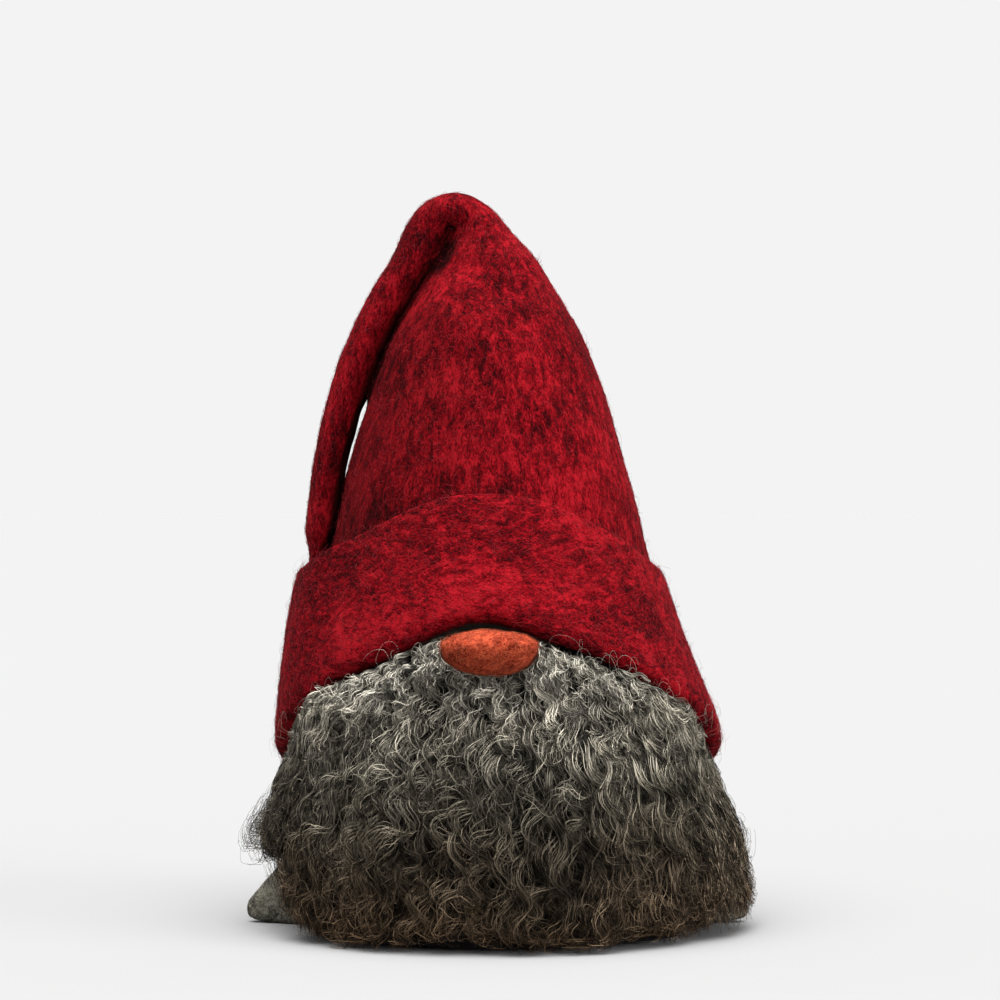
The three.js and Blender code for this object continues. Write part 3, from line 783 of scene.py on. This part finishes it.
def cuff_edge(cuff):
    """Lowest height of the cuff by turn, and its outer radius just above that."""
    points = mesh_points(cuff.data)
    turn = np.arctan2(points[:, 0] - BODY_CENTRE.x, -(points[:, 1] - BODY_CENTRE.y))
    radius = np.hypot(points[:, 0] - BODY_CENTRE.x, points[:, 1] - BODY_CENTRE.y)
    low, wide = [], []
    for centre in TURNS:
        near = np.abs(turn - centre) < np.radians(1.4)
        floor = points[near, 2].min()
        low.append(floor)
        wide.append(radius[near & (points[:, 2] < floor + 12 * MM)].max())
    return np.array(low), np.array(wide)


HIDE_RADIUS = filled(radius_map("beard_hide"))
FLEECE_RADIUS = filled(radius_map("beard_fleece"))
NOSE_MIDDLE = (NOSE_LOW + NOSE_HIGH) / 2
# Locks grow as far round as this. The beard's face stands this far from the body's axis.
LOCK_TURN = math.radians(93)
FACE_RADIUS = 98 * MM
# The left corner of the sack stays in sight below this height.
EAR_HEIGHT = 27 * MM
FLOOR_CLEAR = 0.5 * MM
NOSE_CLEAR = 0.6 * MM
# No hair stands further than this from the body's axis, and the last stretch is thinned out.
HAIR_REACH = CAD_HIGH.x + 9 * MM
HAIR_SPREAD = 13 * MM
# Share of pale hairs in a lock.
PALE_SHARE = 0.36


def to_world(turn, height, radius):
    x = BODY_CENTRE.x + radius * np.sin(turn)
    y = BODY_CENTRE.y - radius * np.cos(turn)
    return np.stack([x, y, height], -1)


def evenly(random, count):
    """Pairs of shares from 0 to 1 that cover a square with neither gaps nor rows."""
    start = random.uniform(0, 1, (2, 1))
    return (start + np.arange(count) * np.array([[0.7548777], [0.5698403]])) % 1


def off_nose_middle(turn):
    """How far aside of the nose's middle the beard's face is at a turn."""
    return BODY_CENTRE.x + FACE_RADIUS * np.sin(turn) - NOSE_MIDDLE.x


def lock_roots(random, count):
    """Places on the hide, spread evenly, as turn, height and share of the beard's height."""
    across, share = evenly(random, count)
    turn = LOCK_TURN * (2 * across - 1)
    share = share ** 0.75
    foot = 14 * MM + past(turn, math.radians(60), math.radians(16)) * 30 * MM
    flank = past(turn, math.radians(55), math.radians(25))
    top = np.interp(turn, TURNS, CUFF_LOW) + (2 - 15 * flank) * MM
    nose = np.exp(-(off_nose_middle(turn) / (20 * MM)) ** 4)
    top = top - nose * 12 * MM * (np.cos(turn) > 0)
    return turn, foot + (top - foot) * share, share


def ear_shelf(turn):
    """Lowest height of the hair over the left corner of the sack, which stays in sight."""
    return EAR_HEIGHT * smooth((-turn - math.radians(54)) / math.radians(13))


def lock_habit(random, turn, height, share):
    """How each lock grows. Neighbours lean and wave alike, and the zones of the beard differ."""
    count = len(turn)
    place = to_world(turn, height, lookup(HIDE_RADIUS, turn, height))
    top = smooth((share - 0.66) / 0.28)
    low = smooth((0.34 - share) / 0.3)
    flank = past(turn, math.radians(52), math.radians(25))
    middle = (1 - top) * (1 - low)
    depth = lookup(FLEECE_RADIUS, turn, height) - lookup(HIDE_RADIUS, turn, height)
    depth = np.maximum(depth, (13 + 4 * top) * MM) * (1 + 0.2 * lumps(place, 20 * MM, 81))
    spread = np.clip(turn / math.radians(40), -1, 1)
    edge = np.sign(turn) * past(turn, 1.35, 0.2)
    length = (32 + 36 * middle + 8 * low) * MM * random.uniform(0.85, 1.15, count)
    depth = depth * random.uniform(0.6, 1.0, count)
    room = height - ear_shelf(turn) + 0.7 * depth + random.uniform(-3, 9, count) * MM
    return {
        "depth": depth,
        "length": np.clip(length, 14 * MM, np.maximum(room, 16 * MM)),
        "lean": 0.4 * lumps(place, 34 * MM, 82) + (0.5 * top + 0.1) * spread
                + random.normal(0, 0.2, count) + edge * random.uniform(-0.3, 0.8, count),
        "swing": 1.02 + 0.2 * top + 0.2 * flank + random.normal(0, 0.2, count),
        "wave": (40 - 21 * top - 16 * low - 9 * flank * middle + random.normal(0, 4.5, count)) * MM,
        "roll": 0.3 + 0.35 * flank,
        "curl_out": random.normal(0, 0.35, count) - 0.5 * flank,
        "phase": 7 * lumps(place, 34 * MM, 83) + random.normal(0, 0.7, count),
        "hook": random.normal(0, 1.1 + 0.9 * low + 0.6 * flank, count),
        "uplift": np.zeros(count),
        "curl_power": np.full(count, 3.0),
        "frizz": 0.02 + 0.2 * low + 0.06 * flank,
        "untidy": 0.35 + 0.9 * low + 0.5 * flank,
        "airy": np.zeros(count),
        "silver": 1 + 0.55 * lumps(place, 26 * MM, 85) + 0.25 * top,
        "width": (4.0 - 1.2 * top + 0.5 * flank + random.normal(0, 0.7, count)) * MM,
    }


def flank_roots(random, count):
    """Places at both edges of the fleece."""
    turn = random.uniform(1.3, 1.62, count) * random.choice((-1, 1), count)
    room = np.interp(turn, TURNS, CUFF_LOW) - 30 * MM - ear_shelf(turn)
    height = ear_shelf(turn) + 16 * MM + (room - 16 * MM) * random.uniform(0, 1, count)
    return turn, height, height / (110 * MM)


def flank_habit(random, turn, height, share):
    """Open wisps that stand off the sides in hooks and rings."""
    count = len(turn)
    habit = lock_habit(random, turn, height, share)
    habit.update(
        depth=random.uniform(11, 22, count) * MM,
        length=random.uniform(20, 60, count) * MM,
        lean=random.normal(0, 0.6, count),
        wave=random.uniform(20, 34, count) * MM,
        swing=random.uniform(0.2, 1.0, count),
        hook=random.normal(0, 1, count),
        roll=random.uniform(0, 0.4, count),
        curl_out=random.choice((-1, 1), count, p=(0.3, 0.7)) * random.uniform(2.5, 7.5, count),
        curl_power=random.uniform(1.2, 2.2, count),
        frizz=np.full(count, 0.03),
        airy=np.ones(count),
        untidy=random.uniform(0.3, 1.2, count),
        width=random.uniform(2, 6, count) * MM,
    )
    return habit


def undercoat_habit(random, turn, height, share):
    """Short dense curls below the locks."""
    habit = lock_habit(random, turn, height, share)
    count = len(turn)
    full = np.maximum(lookup(FLEECE_RADIUS, turn, height) - lookup(HIDE_RADIUS, turn, height), 14 * MM)
    habit.update(
        depth=0.8 * full,
        length=np.minimum(habit["length"], random.uniform(15, 24, count) * MM),
        wave=random.uniform(12, 19, count) * MM,
        width=random.uniform(4, 6, count) * MM,
        untidy=random.uniform(0.6, 1.4, count),
    )
    return habit


def stray_habit(random, turn, height, share):
    """Single hairs that stand out of the outline."""
    habit = lock_habit(random, turn, height, share)
    habit.update(
        depth=habit["depth"] * random.uniform(1.0, 1.5, len(turn)),
        hook=random.normal(0, 2.2, len(turn)),
        airy=np.ones(len(turn)),
    )
    return habit


def screen_roots(random, count):
    """Places low on the right, in front of the sack's other corner."""
    turn = random.uniform(1.02, 1.5, count)
    height = random.uniform(30, 66, count) * MM
    return turn, height, height / (110 * MM)


def screen_habit(random, turn, height, share):
    """Full locks that hide the right corner of the sack."""
    count = len(turn)
    habit = lock_habit(random, turn, height, share)
    habit.update(
        depth=random.uniform(26, 33, count) * MM,
        length=height + random.uniform(8, 22, count) * MM,
        lean=random.uniform(-0.3, 0.5, count),
        wave=random.uniform(15, 24, count) * MM,
        swing=random.uniform(1.0, 1.5, count),
        hook=random.normal(0, 1.6, count),
        roll=random.uniform(0.4, 1.0, count),
        curl_out=random.uniform(0, 1.8, count),
        untidy=random.uniform(0.6, 1.4, count),
    )
    return habit


def collar_roots(random, count):
    """Places along the cuff's lower edge, just inside it."""
    turn = random.uniform(-1.5, 1.5, count)
    below = random.uniform(0.5, 6, count) + 7 * past(turn, 1.0, 0.35)
    height = np.interp(turn, TURNS, CUFF_LOW) - below * MM
    kept = np.abs(off_nose_middle(turn)) > 17 * MM
    return turn[kept], height[kept], np.ones(kept.sum())


def collar_habit(random, turn, height, share):
    """Small tight curls that well out from under the cuff and tumble over each other."""
    count = len(turn)
    wide = np.interp(turn, TURNS, CUFF_WIDE)
    depth = wide - lookup(HIDE_RADIUS, turn, height) + random.uniform(-1, 5, count) * MM
    calm = 1 - 0.8 * past(turn, 0.95, 0.3)
    habit = lock_habit(random, turn, height, share)
    aside = past(turn, 0.45, 0.4)
    habit.update(
        depth=np.maximum(depth, 8 * MM),
        length=(random.uniform(17, 32, count) + 15 * aside) * MM,
        wave=random.uniform(10, 15, count) * (1 + 1.3 * aside) * MM,
        swing=random.uniform(0.9, 1.4, count) * (1 - 0.35 * aside),
        lean=habit["lean"] + 0.3 * aside * np.sign(turn),
        uplift=random.choice((-1, 1), count) * random.uniform(0.4, 2.0, count) * calm,
        untidy=random.uniform(0.3, 1.0, count),
        width=random.uniform(1.6, 3.0, count) * MM,
    )
    return habit


STYLES = {
    "fleece": (lock_roots, lock_habit), "collar": (collar_roots, collar_habit),
    "flank": (flank_roots, flank_habit), "screen": (screen_roots, screen_habit),
    "undercoat": (lock_roots, undercoat_habit), "stray": (lock_roots, stray_habit),
}


class Lock:
    """What the hairs of each lock have in common, and how they differ."""

    def __init__(self, random, habit, hairs, loose):
        count = len(habit["length"])
        self.random, self.habit, self.loose = random, habit, loose
        self.shape = (count, hairs, 1)
        self.strand = random.integers(0, 4, self.shape)[..., 0]
        self.group = random.normal(0, 1, (count, 4, 4))

    def each(self, key):
        """One habit of the locks, for all their hairs and points."""
        return self.habit[key][:, None, None]

    def shared(self, channel):
        """A difference between the four strands of a lock, of four kinds."""
        return np.take_along_axis(self.group[:, :, channel], self.strand, 1)[..., None]

    def unlike(self, size):
        """A difference between single hairs."""
        spread = self.each("untidy") + 2.5 * self.loose
        return size * spread * self.random.normal(0, 1, self.shape)


def hair_heading(random, lock, step, gone, beat):
    """Angle from straight down along each hair, as it lies on the beard."""
    swing = lock.each("swing") * (1 + 0.08 * lock.shared(1) + lock.unlike(0.08))
    ease = 0.45 + 0.55 * smooth(step * 2.5)
    heading = lock.each("lean") + lock.unlike(0.06) + 0.07 * lock.shared(2)
    heading = heading + lock.each("uplift") * np.exp(-gone / (5 * MM))
    heading = heading + swing * ease * np.sin(beat)
    heading = heading + (lock.each("hook") + lock.unlike(0.4)) * step ** 3
    kink = random.uniform(0, 2 * np.pi, lock.shape)
    pitch = random.uniform(5, 9, lock.shape) * MM
    frizz = lock.each("frizz") + 0.4 * lock.loose
    return heading + frizz * np.sin(2 * np.pi * gone / pitch + kink)


def hair_rise(random, lock, step, gone, beat):
    """Where each hair starts above the hide, and the angle at which it leaves the hide."""
    depth, loose = lock.each("depth"), lock.loose
    start = depth * random.uniform(0.36, 0.66, (len(depth), 1, 1))
    reach = depth * random.uniform(0.86, 1.06 + 0.3 * loose, lock.shape) - start
    rise = 1.15 * np.exp(-gone / (np.maximum(reach, 2 * MM) / 1.02))
    wobble = lock.each("roll") * np.cos(beat + 0.6) * smooth(step * 3)
    curl = lock.each("curl_out") * step ** lock.each("curl_power")
    return start, rise + wobble + curl + lock.unlike(0.1)


def summed(slope, stride):
    """Adds up a slope along each hair, from nothing at its root."""
    middle = (slope[..., 1:] + slope[..., :-1]) / 2 * stride
    return np.concatenate([np.zeros(stride.shape), np.cumsum(middle, -1)], -1)


def grown(random, roots, habit, hairs, points, loose):
    """Hairs of each lock, locks x hairs x points x 3, in the world, with a painted highlight on each
    wave's crest and painted shade on hair deep in the fleece.

    Each hair leaves the hide, bends over to lie along the beard, and there its heading swings
    from side to side, so that it makes rounded waves and hooks of its true length."""
    turn, height, _ = roots
    lock = Lock(random, habit, hairs, loose)
    step = np.linspace(0, 1, points)
    length = lock.each("length") * random.uniform(0.74, 1.05, lock.shape)
    gone = step * length
    wave = lock.each("wave") * (1 - 0.22 * step) * (1 + lock.unlike(0.035))
    beat = 2 * np.pi * gone / wave + (lock.each("phase") + lock.unlike(0.17) + 0.2 * lock.shared(0))
    heading = hair_heading(random, lock, step, gone, beat)
    start, rise = hair_rise(random, lock, step, gone, beat)
    stride = length / (points - 1)
    side = summed(np.sin(heading) * np.cos(rise), stride)
    down = summed(np.cos(heading) * np.cos(rise), stride)
    out = start + summed(np.sin(rise), stride)

    splay = 1.2 * loose + 0.25 * lock.each("untidy")
    pinch = (1 - 0.6 * step + splay * step) * lock.each("width")
    spot = unit(random.normal(0, 1, (*lock.shape[:2], 3))) * random.uniform(0, 1, lock.shape) ** 0.5
    spot = spot[:, :, None]
    side = side + pinch * (0.62 * spot[..., 0] + 0.25 * lock.shared(2))
    down = down + pinch * 0.6 * spot[..., 1]
    out = out + pinch * 0.3 * spot[..., 2] + 0.15 * MM * lock.shared(3)

    turn, up = turn[:, None, None], height[:, None, None] - down
    base = lookup(HIDE_RADIUS, turn + 0 * up, np.clip(up, 0, HEIGHTS[-1] - 5 * MM))
    radius = base + np.maximum(out, 0.2 * MM)
    # Painted highlight on the crest of each wave, and painted shade on hair that lies deep in the
    # fleece.
    proud = smooth((out / lock.each("depth") - 0.45) / 0.5)
    glint_and_shade = (0.66 + 0.42 * np.cos(beat + 0.9)) * (0.14 + 0.86 * proud)
    return settle(random, turn + side / radius, up, radius, habit["airy"]), glint_and_shade


def reach_inside(around, up, airy, uneven):
    """Radius beyond which hair is drawn in. Above the foot only airy wisps stand off the sides."""
    high = smooth((up - 40 * MM) / (50 * MM))
    dense = (1 - high) * (1 - airy)
    left = smooth((-around - 0.9) / 0.35) * dense * (3 + 18 * uneven)
    right = smooth((around - 0.9) / 0.35) * dense * smooth((up - 15 * MM) / (25 * MM))
    drawn = (8 + 14 * past(around, 0.8, 0.4)) * high + left + right * (3 + 15 * uneven)
    drawn = drawn + 12 * uneven * airy
    return HAIR_REACH - HAIR_SPREAD - drawn * MM


def off_floor(around, up, radius, airy, uneven):
    """Spreads hair along a ragged edge above the floor and over the sack's left corner."""
    foot = to_world(around, 0 * around, 0.1 + 0 * around)
    ragged = np.maximum(lumps(foot.reshape(-1, 3), 13 * MM, 84), 0).reshape(around.shape)
    shelf = ear_shelf(around) * (1 + 1.1 * uneven * airy)
    floor = FLOOR_CLEAR + shelf + 6 * MM * uneven * (1 + (around < -1.05))
    floor = floor + 11 * MM * ragged
    below = np.maximum(floor - up, 0)
    radius = radius + 0.22 * below - 4 * MM * smooth((14 * MM - up) / (14 * MM))
    around = around + 0.5 * below * np.sin(37 * around) / radius
    return around, np.maximum(up, floor) + 0.2 * np.minimum(below, 12 * MM), radius


def under_cuff(around, up, radius):
    """Heights of hair pressed down below the cuff's edge, but for what curls in front of it."""
    edge = np.interp(around, TURNS, CUFF_LOW)
    wide = np.interp(around, TURNS, CUFF_WIDE)
    soft = 0.8 * MM
    under = edge - up
    pressed = edge - np.where(under > 20 * soft, under, soft * np.logaddexp(0, under / soft))
    ahead = smooth((radius - wide - 0.4 * MM) / (1.2 * MM))
    ahead = ahead * (1 - past(around, 0.7, 0.3))
    return pressed + (up - pressed) * ahead


def off_nose(place):
    """Places moved out of the nose, to its surface."""
    half = np.array((NOSE_HIGH - NOSE_LOW) / 2) + NOSE_CLEAR
    away = (place - np.array(NOSE_MIDDLE)) / half
    inside = np.linalg.norm(away, axis=-1, keepdims=True)
    pushed = np.array(NOSE_MIDDLE) + half * away / np.maximum(inside, 0.05)
    return np.where(inside < 1, pushed, place)


def settle(random, around, up, radius, airy):
    """Keeps hair off the floor, under or in front of the cuff, and out of the nose."""
    uneven = random.uniform(0, 1, up.shape[:2])[..., None]
    airy = airy[:, None, None]
    around, up, radius = off_floor(around, up, radius, airy, uneven)
    inner = reach_inside(around, up, airy, uneven)
    over = np.maximum(radius - inner, 0)
    radius = np.where(over > 0, inner + over / (1 + over / HAIR_SPREAD), radius)
    place = off_nose(to_world(around, under_cuff(around, up, radius), radius))
    place[..., 2] = np.maximum(place[..., 2], FLOOR_CLEAR)
    return place


def lock_batch(name, seed, locks, hairs, points, thickness, loose, style):
    random = np.random.default_rng(seed)
    find_roots, find_habit = STYLES[style]
    roots = find_roots(random, locks)
    habit = find_habit(random, *roots)
    locks = len(roots[0])
    paths, glint_and_shade = grown(random, roots, habit, hairs, points, loose)
    taper = 1 - 0.55 * np.linspace(0, 1, points) ** 2
    pale = random.uniform(0, 1, (locks, hairs)) < PALE_SHARE
    tone = np.where(pale, random.uniform(0.6, 1.0, pale.shape), random.uniform(0.0, 0.24, pale.shape))
    tone = tone * random.uniform(0.5, 1.3, (locks, 1)) * habit["silver"][:, None]
    size = thickness * np.where(pale, 1.3, 0.95) * random.uniform(0.8, 1.2, pale.shape)
    # The hairs' tones carry the painted highlight and shade along them.
    tones = np.clip(tone[..., None] * glint_and_shade, 0.0, 1.0)
    strands = locks * hairs
    radii = (size[..., None] * taper).reshape(strands, points)
    piece = tubes(name, paths.reshape(strands, points, 3), radii, BEARD_WOOL, tones.reshape(-1))
    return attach(piece, "figure")


def cuff_strays(name, seed, count, points, thickness):
    """Single hairs that curl up in front of the cuff's lower edge and back down."""
    random = np.random.default_rng(seed)
    turn = random.uniform(0.25, 1.5, count) * random.choice((-1, 1), count)
    step = np.linspace(0, 1, points)
    size = (1.5 + 6.5 * random.beta(1.3, 2.6, count))[:, None] * MM
    hand = random.choice((-1, 1), count)[:, None]
    angle = -0.5 + (random.uniform(1.6, 4.6, count)[:, None] + 0.5) * step
    squeeze = random.uniform(0.4, 1.5, count)[:, None]
    drift = random.normal(0, 4, count)[:, None] * MM * step
    side = hand * size * (np.cos(0.5) - np.cos(angle)) * squeeze + drift
    around = turn[:, None] + side / (FACE_RADIUS + 7 * MM)
    edge = np.interp(around, TURNS, CUFF_LOW)
    wide = np.interp(around, TURNS, CUFF_WIDE)
    start = random.uniform(-7, 0, count)[:, None] * MM
    up = edge + start + size * 1.15 * (np.sin(angle) + np.sin(0.5))
    proud = random.uniform(0.5, 2.5, count)[:, None] * MM
    sunk = 3.5 * MM
    radius = wide - sunk + (sunk + proud) * smooth(step * 5)
    paths = to_world(around, up, radius)
    radii = thickness * (1 - 0.5 * step)[None] * random.uniform(0.8, 1.2, count)[:, None]
    tones = np.repeat(random.uniform(0.1, 0.6, count), points)
    piece = tubes(name, paths, radii, BEARD_WOOL, tones)
    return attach(piece, "figure")


# Batches of hair: name, first seed, number of batches, locks in each, hairs in a lock, points in
# a hair, thickness in millimetres, looseness and style.
BATCHES = [
    ("beard_locks_{:02d}", 500, 14, 44, 31, 19, 0.135, 0.0, "fleece"),
    ("beard_undercoat_{}", 580, 2, 210, 12, 12, 0.14, 0.0, "undercoat"),
    ("beard_collar_{}", 560, 4, 80, 18, 17, 0.12, 0.0, "collar"),
    ("beard_flank", 570, 1, 190, 4, 30, 0.1, 0.03, "flank"),
    ("beard_screen", 575, 1, 54, 28, 22, 0.13, 0.0, "screen"),
    ("beard_loose_1", 601, 1, 420, 2, 22, 0.085, 0.25, "stray"),
    ("beard_loose_2", 602, 1, 420, 2, 22, 0.085, 0.5, "stray"),
]


def make_fleece_shade():
    """A dark sheet of painted shade deep in the fleece, near the skin: the CAD fleece, thinned and
    made lumpy.
    """
    under = smooth_copy("beard_fleece", "beard_fleece_shade", FLEECE_SHADE, 3)
    points = mesh_points(under.data)
    flat = points - np.array([BODY_CENTRE.x, BODY_CENTRE.y, 0])
    turn = np.arctan2(flat[:, 0], -flat[:, 1])
    radius = np.hypot(flat[:, 0], flat[:, 1])
    skin = lookup(HIDE_RADIUS, turn, points[:, 2]) + 0.8 * MM
    depth = np.maximum(radius - skin, 0) * 0.42
    bumps = 1 + 0.3 * lumps(points, 9 * MM, 43) + 0.2 * lumps(points, 4 * MM, 44)
    set_points(under.data, to_world(turn, points[:, 2], skin + depth * bumps))
    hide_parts("beard_fleece")
    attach(under, "figure")


def make_beard():
    hide = smooth_copy("beard_hide", "beard_skin", SUEDE, 2)
    swell(hide, [(22, 0.3), (5, 0.15)], 41)
    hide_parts("beard_hide")
    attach(hide, "figure")
    make_fleece_shade()
    for name, seed, batches, locks, hairs, points, thickness, loose, style in BATCHES:
        for batch in range(batches):
            lock_batch(name.format(batch + 1), seed + batch, locks, hairs, points, thickness * MM,
                       loose, style)
    cuff_strays("beard_edge_hairs", 603, 55, 28, 0.04 * MM)


# --- Body --------------------------------------------------------------------------------------

# Soft pieces that are made alike: node, name, material, slot and lumps.
SOFT_PIECES = [
    ("sole_panel", "sole_felt", GREY_FELT, "grey_felt", []),
    ("ballast_bag", "bag_cloth", CALICO, "calico", [(9, 0.15)]),
    ("ballast_sand", "bag_sand", SAND, "sand", [(3, 0.08)]),
    ("ballast_tie", "bag_twine", TWINE, "cord", [(2, 0.05)]),
    ("body_fill", "body_wadding", WADDING, "wadding", [(12, 0.25)]),
    ("head_cover", "head_calico", CALICO, "calico", [(24, 0.5), (7, 0.2)]),
    ("head_fill", "head_wadding", WADDING, "wadding", [(12, 0.3)]),
    ("neck_cord", "neck_twine", TWINE, "cord", [(3, 0.05)]),
    ("nose_thread", "nose_stitches", TWINE, "cord", [(2, 0.03)]),
    ("hat_wadding", "crown_wadding", WADDING, "wadding", [(9, 0.5)]),
]


def make_sack():
    sack = smooth_copy("body_sack", "sack_felt", GREY_FELT, 2)
    swell(sack, [(34, 1.0), (13, 0.5), (4, 0.2)], 51)
    keep_above(sack.data, 0.2 * MM)
    nap = fibres("sack_nap", sack, 3500, GREY_FUZZ, (2, 7), (0.1, 0.9), 0.07, 52, outside_only)
    keep_above(nap.data, 0.1 * MM)
    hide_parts("body_sack")
    for piece in (sack, nap):
        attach(piece, "figure")


def make_body():
    for node, name, material, slot, layers in SOFT_PIECES:
        piece = smooth_copy(node, name, material, 2)
        swell(piece, layers, 61)
        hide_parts(node)
        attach(piece, "hat" if node == "hat_wadding" else "figure")
    make_sack()
    disc = frame["nodes"]["base_disc"]
    disc.data.materials.clear()
    disc.data.materials.append(PLYWOOD)


# --- Stage -------------------------------------------------------------------------------------

def make_camera():
    data = bpy.data.cameras.new("camera")
    data.sensor_width = SENSOR_WIDTH
    data.lens = SENSOR_WIDTH * EYE_DISTANCE / PICTURE_WIDTH
    data.clip_start, data.clip_end = 0.05, 50
    camera = bpy.data.objects.new("camera", data)
    camera.location = (EYE_ASIDE, -EYE_DISTANCE, EYE_HEIGHT)
    camera.rotation_euler = (math.radians(90), 0, 0)
    bpy.context.scene.collection.objects.link(camera)
    bpy.context.scene.camera = camera


# Brightness of the studio, and the floor's own tone, which the lights below bring up to it.
STUDIO_TONE = 0.896
FLOOR_TONE = 0.2303
FLOOR_EDGE = 60.0
# Lights: name, turn, height, spread and strength.
SUNS = [("key", 64, 12, 36, 2.9), ("top", -10, 78, 60, 9.0)]


def make_stage():
    """A pale paper floor that runs out of sight, as bright as the studio behind it."""
    look = Finish("paper", 0.9, Specular_IOR_Level=0.0)
    tooth = look.noise(600, 3, 0.6)
    shade = np.full(3, FLOOR_TONE)
    paper = look.done(look.ramp(tooth, [(0.3, shade * 0.985), (0.7, shade * 1.015)]),
                      tooth, 0.05 * MM, 0.1)
    corners = [(x * FLOOR_EDGE, y * FLOOR_EDGE, 0) for x, y in ((-1, -1), (1, -1), (1, 1), (-1, 1))]
    mesh = bpy.data.meshes.new("floor")
    mesh.from_pydata(corners, [], [(0, 1, 2, 3)])
    add_object("floor", mesh, paper)


def soft_sun(name, turn, height, spread, strength):
    """Even light from one side. turn is from straight behind the camera, towards +X."""
    data = bpy.data.lights.new(name, "SUN")
    data.angle = math.radians(spread)
    data.energy = strength
    light = bpy.data.objects.new(name, data)
    turn, height = math.radians(turn), math.radians(height)
    source = Vector((math.sin(turn) * math.cos(height), -math.cos(turn) * math.cos(height),
                     math.sin(height)))
    light.rotation_euler = (-source).to_track_quat("-Z", "Y").to_euler()
    bpy.context.scene.collection.objects.link(light)


def make_light():
    world = bpy.data.worlds.new("studio")
    bpy.context.scene.world = world
    world.use_nodes = True
    studio = world.node_tree.nodes["Background"].inputs
    studio["Color"].default_value = (STUDIO_TONE, STUDIO_TONE, STUDIO_TONE, 1)
    studio["Strength"].default_value = 1.0
    for name, turn, height, spread, strength in SUNS:
        soft_sun(name, turn, height, spread, strength)
    bpy.context.scene.view_settings.view_transform = "Standard"


make_camera()
make_stage()
make_light()
CUFF_LOW, CUFF_WIDE = cuff_edge(make_hat())
make_nose()
make_beard()
make_body()
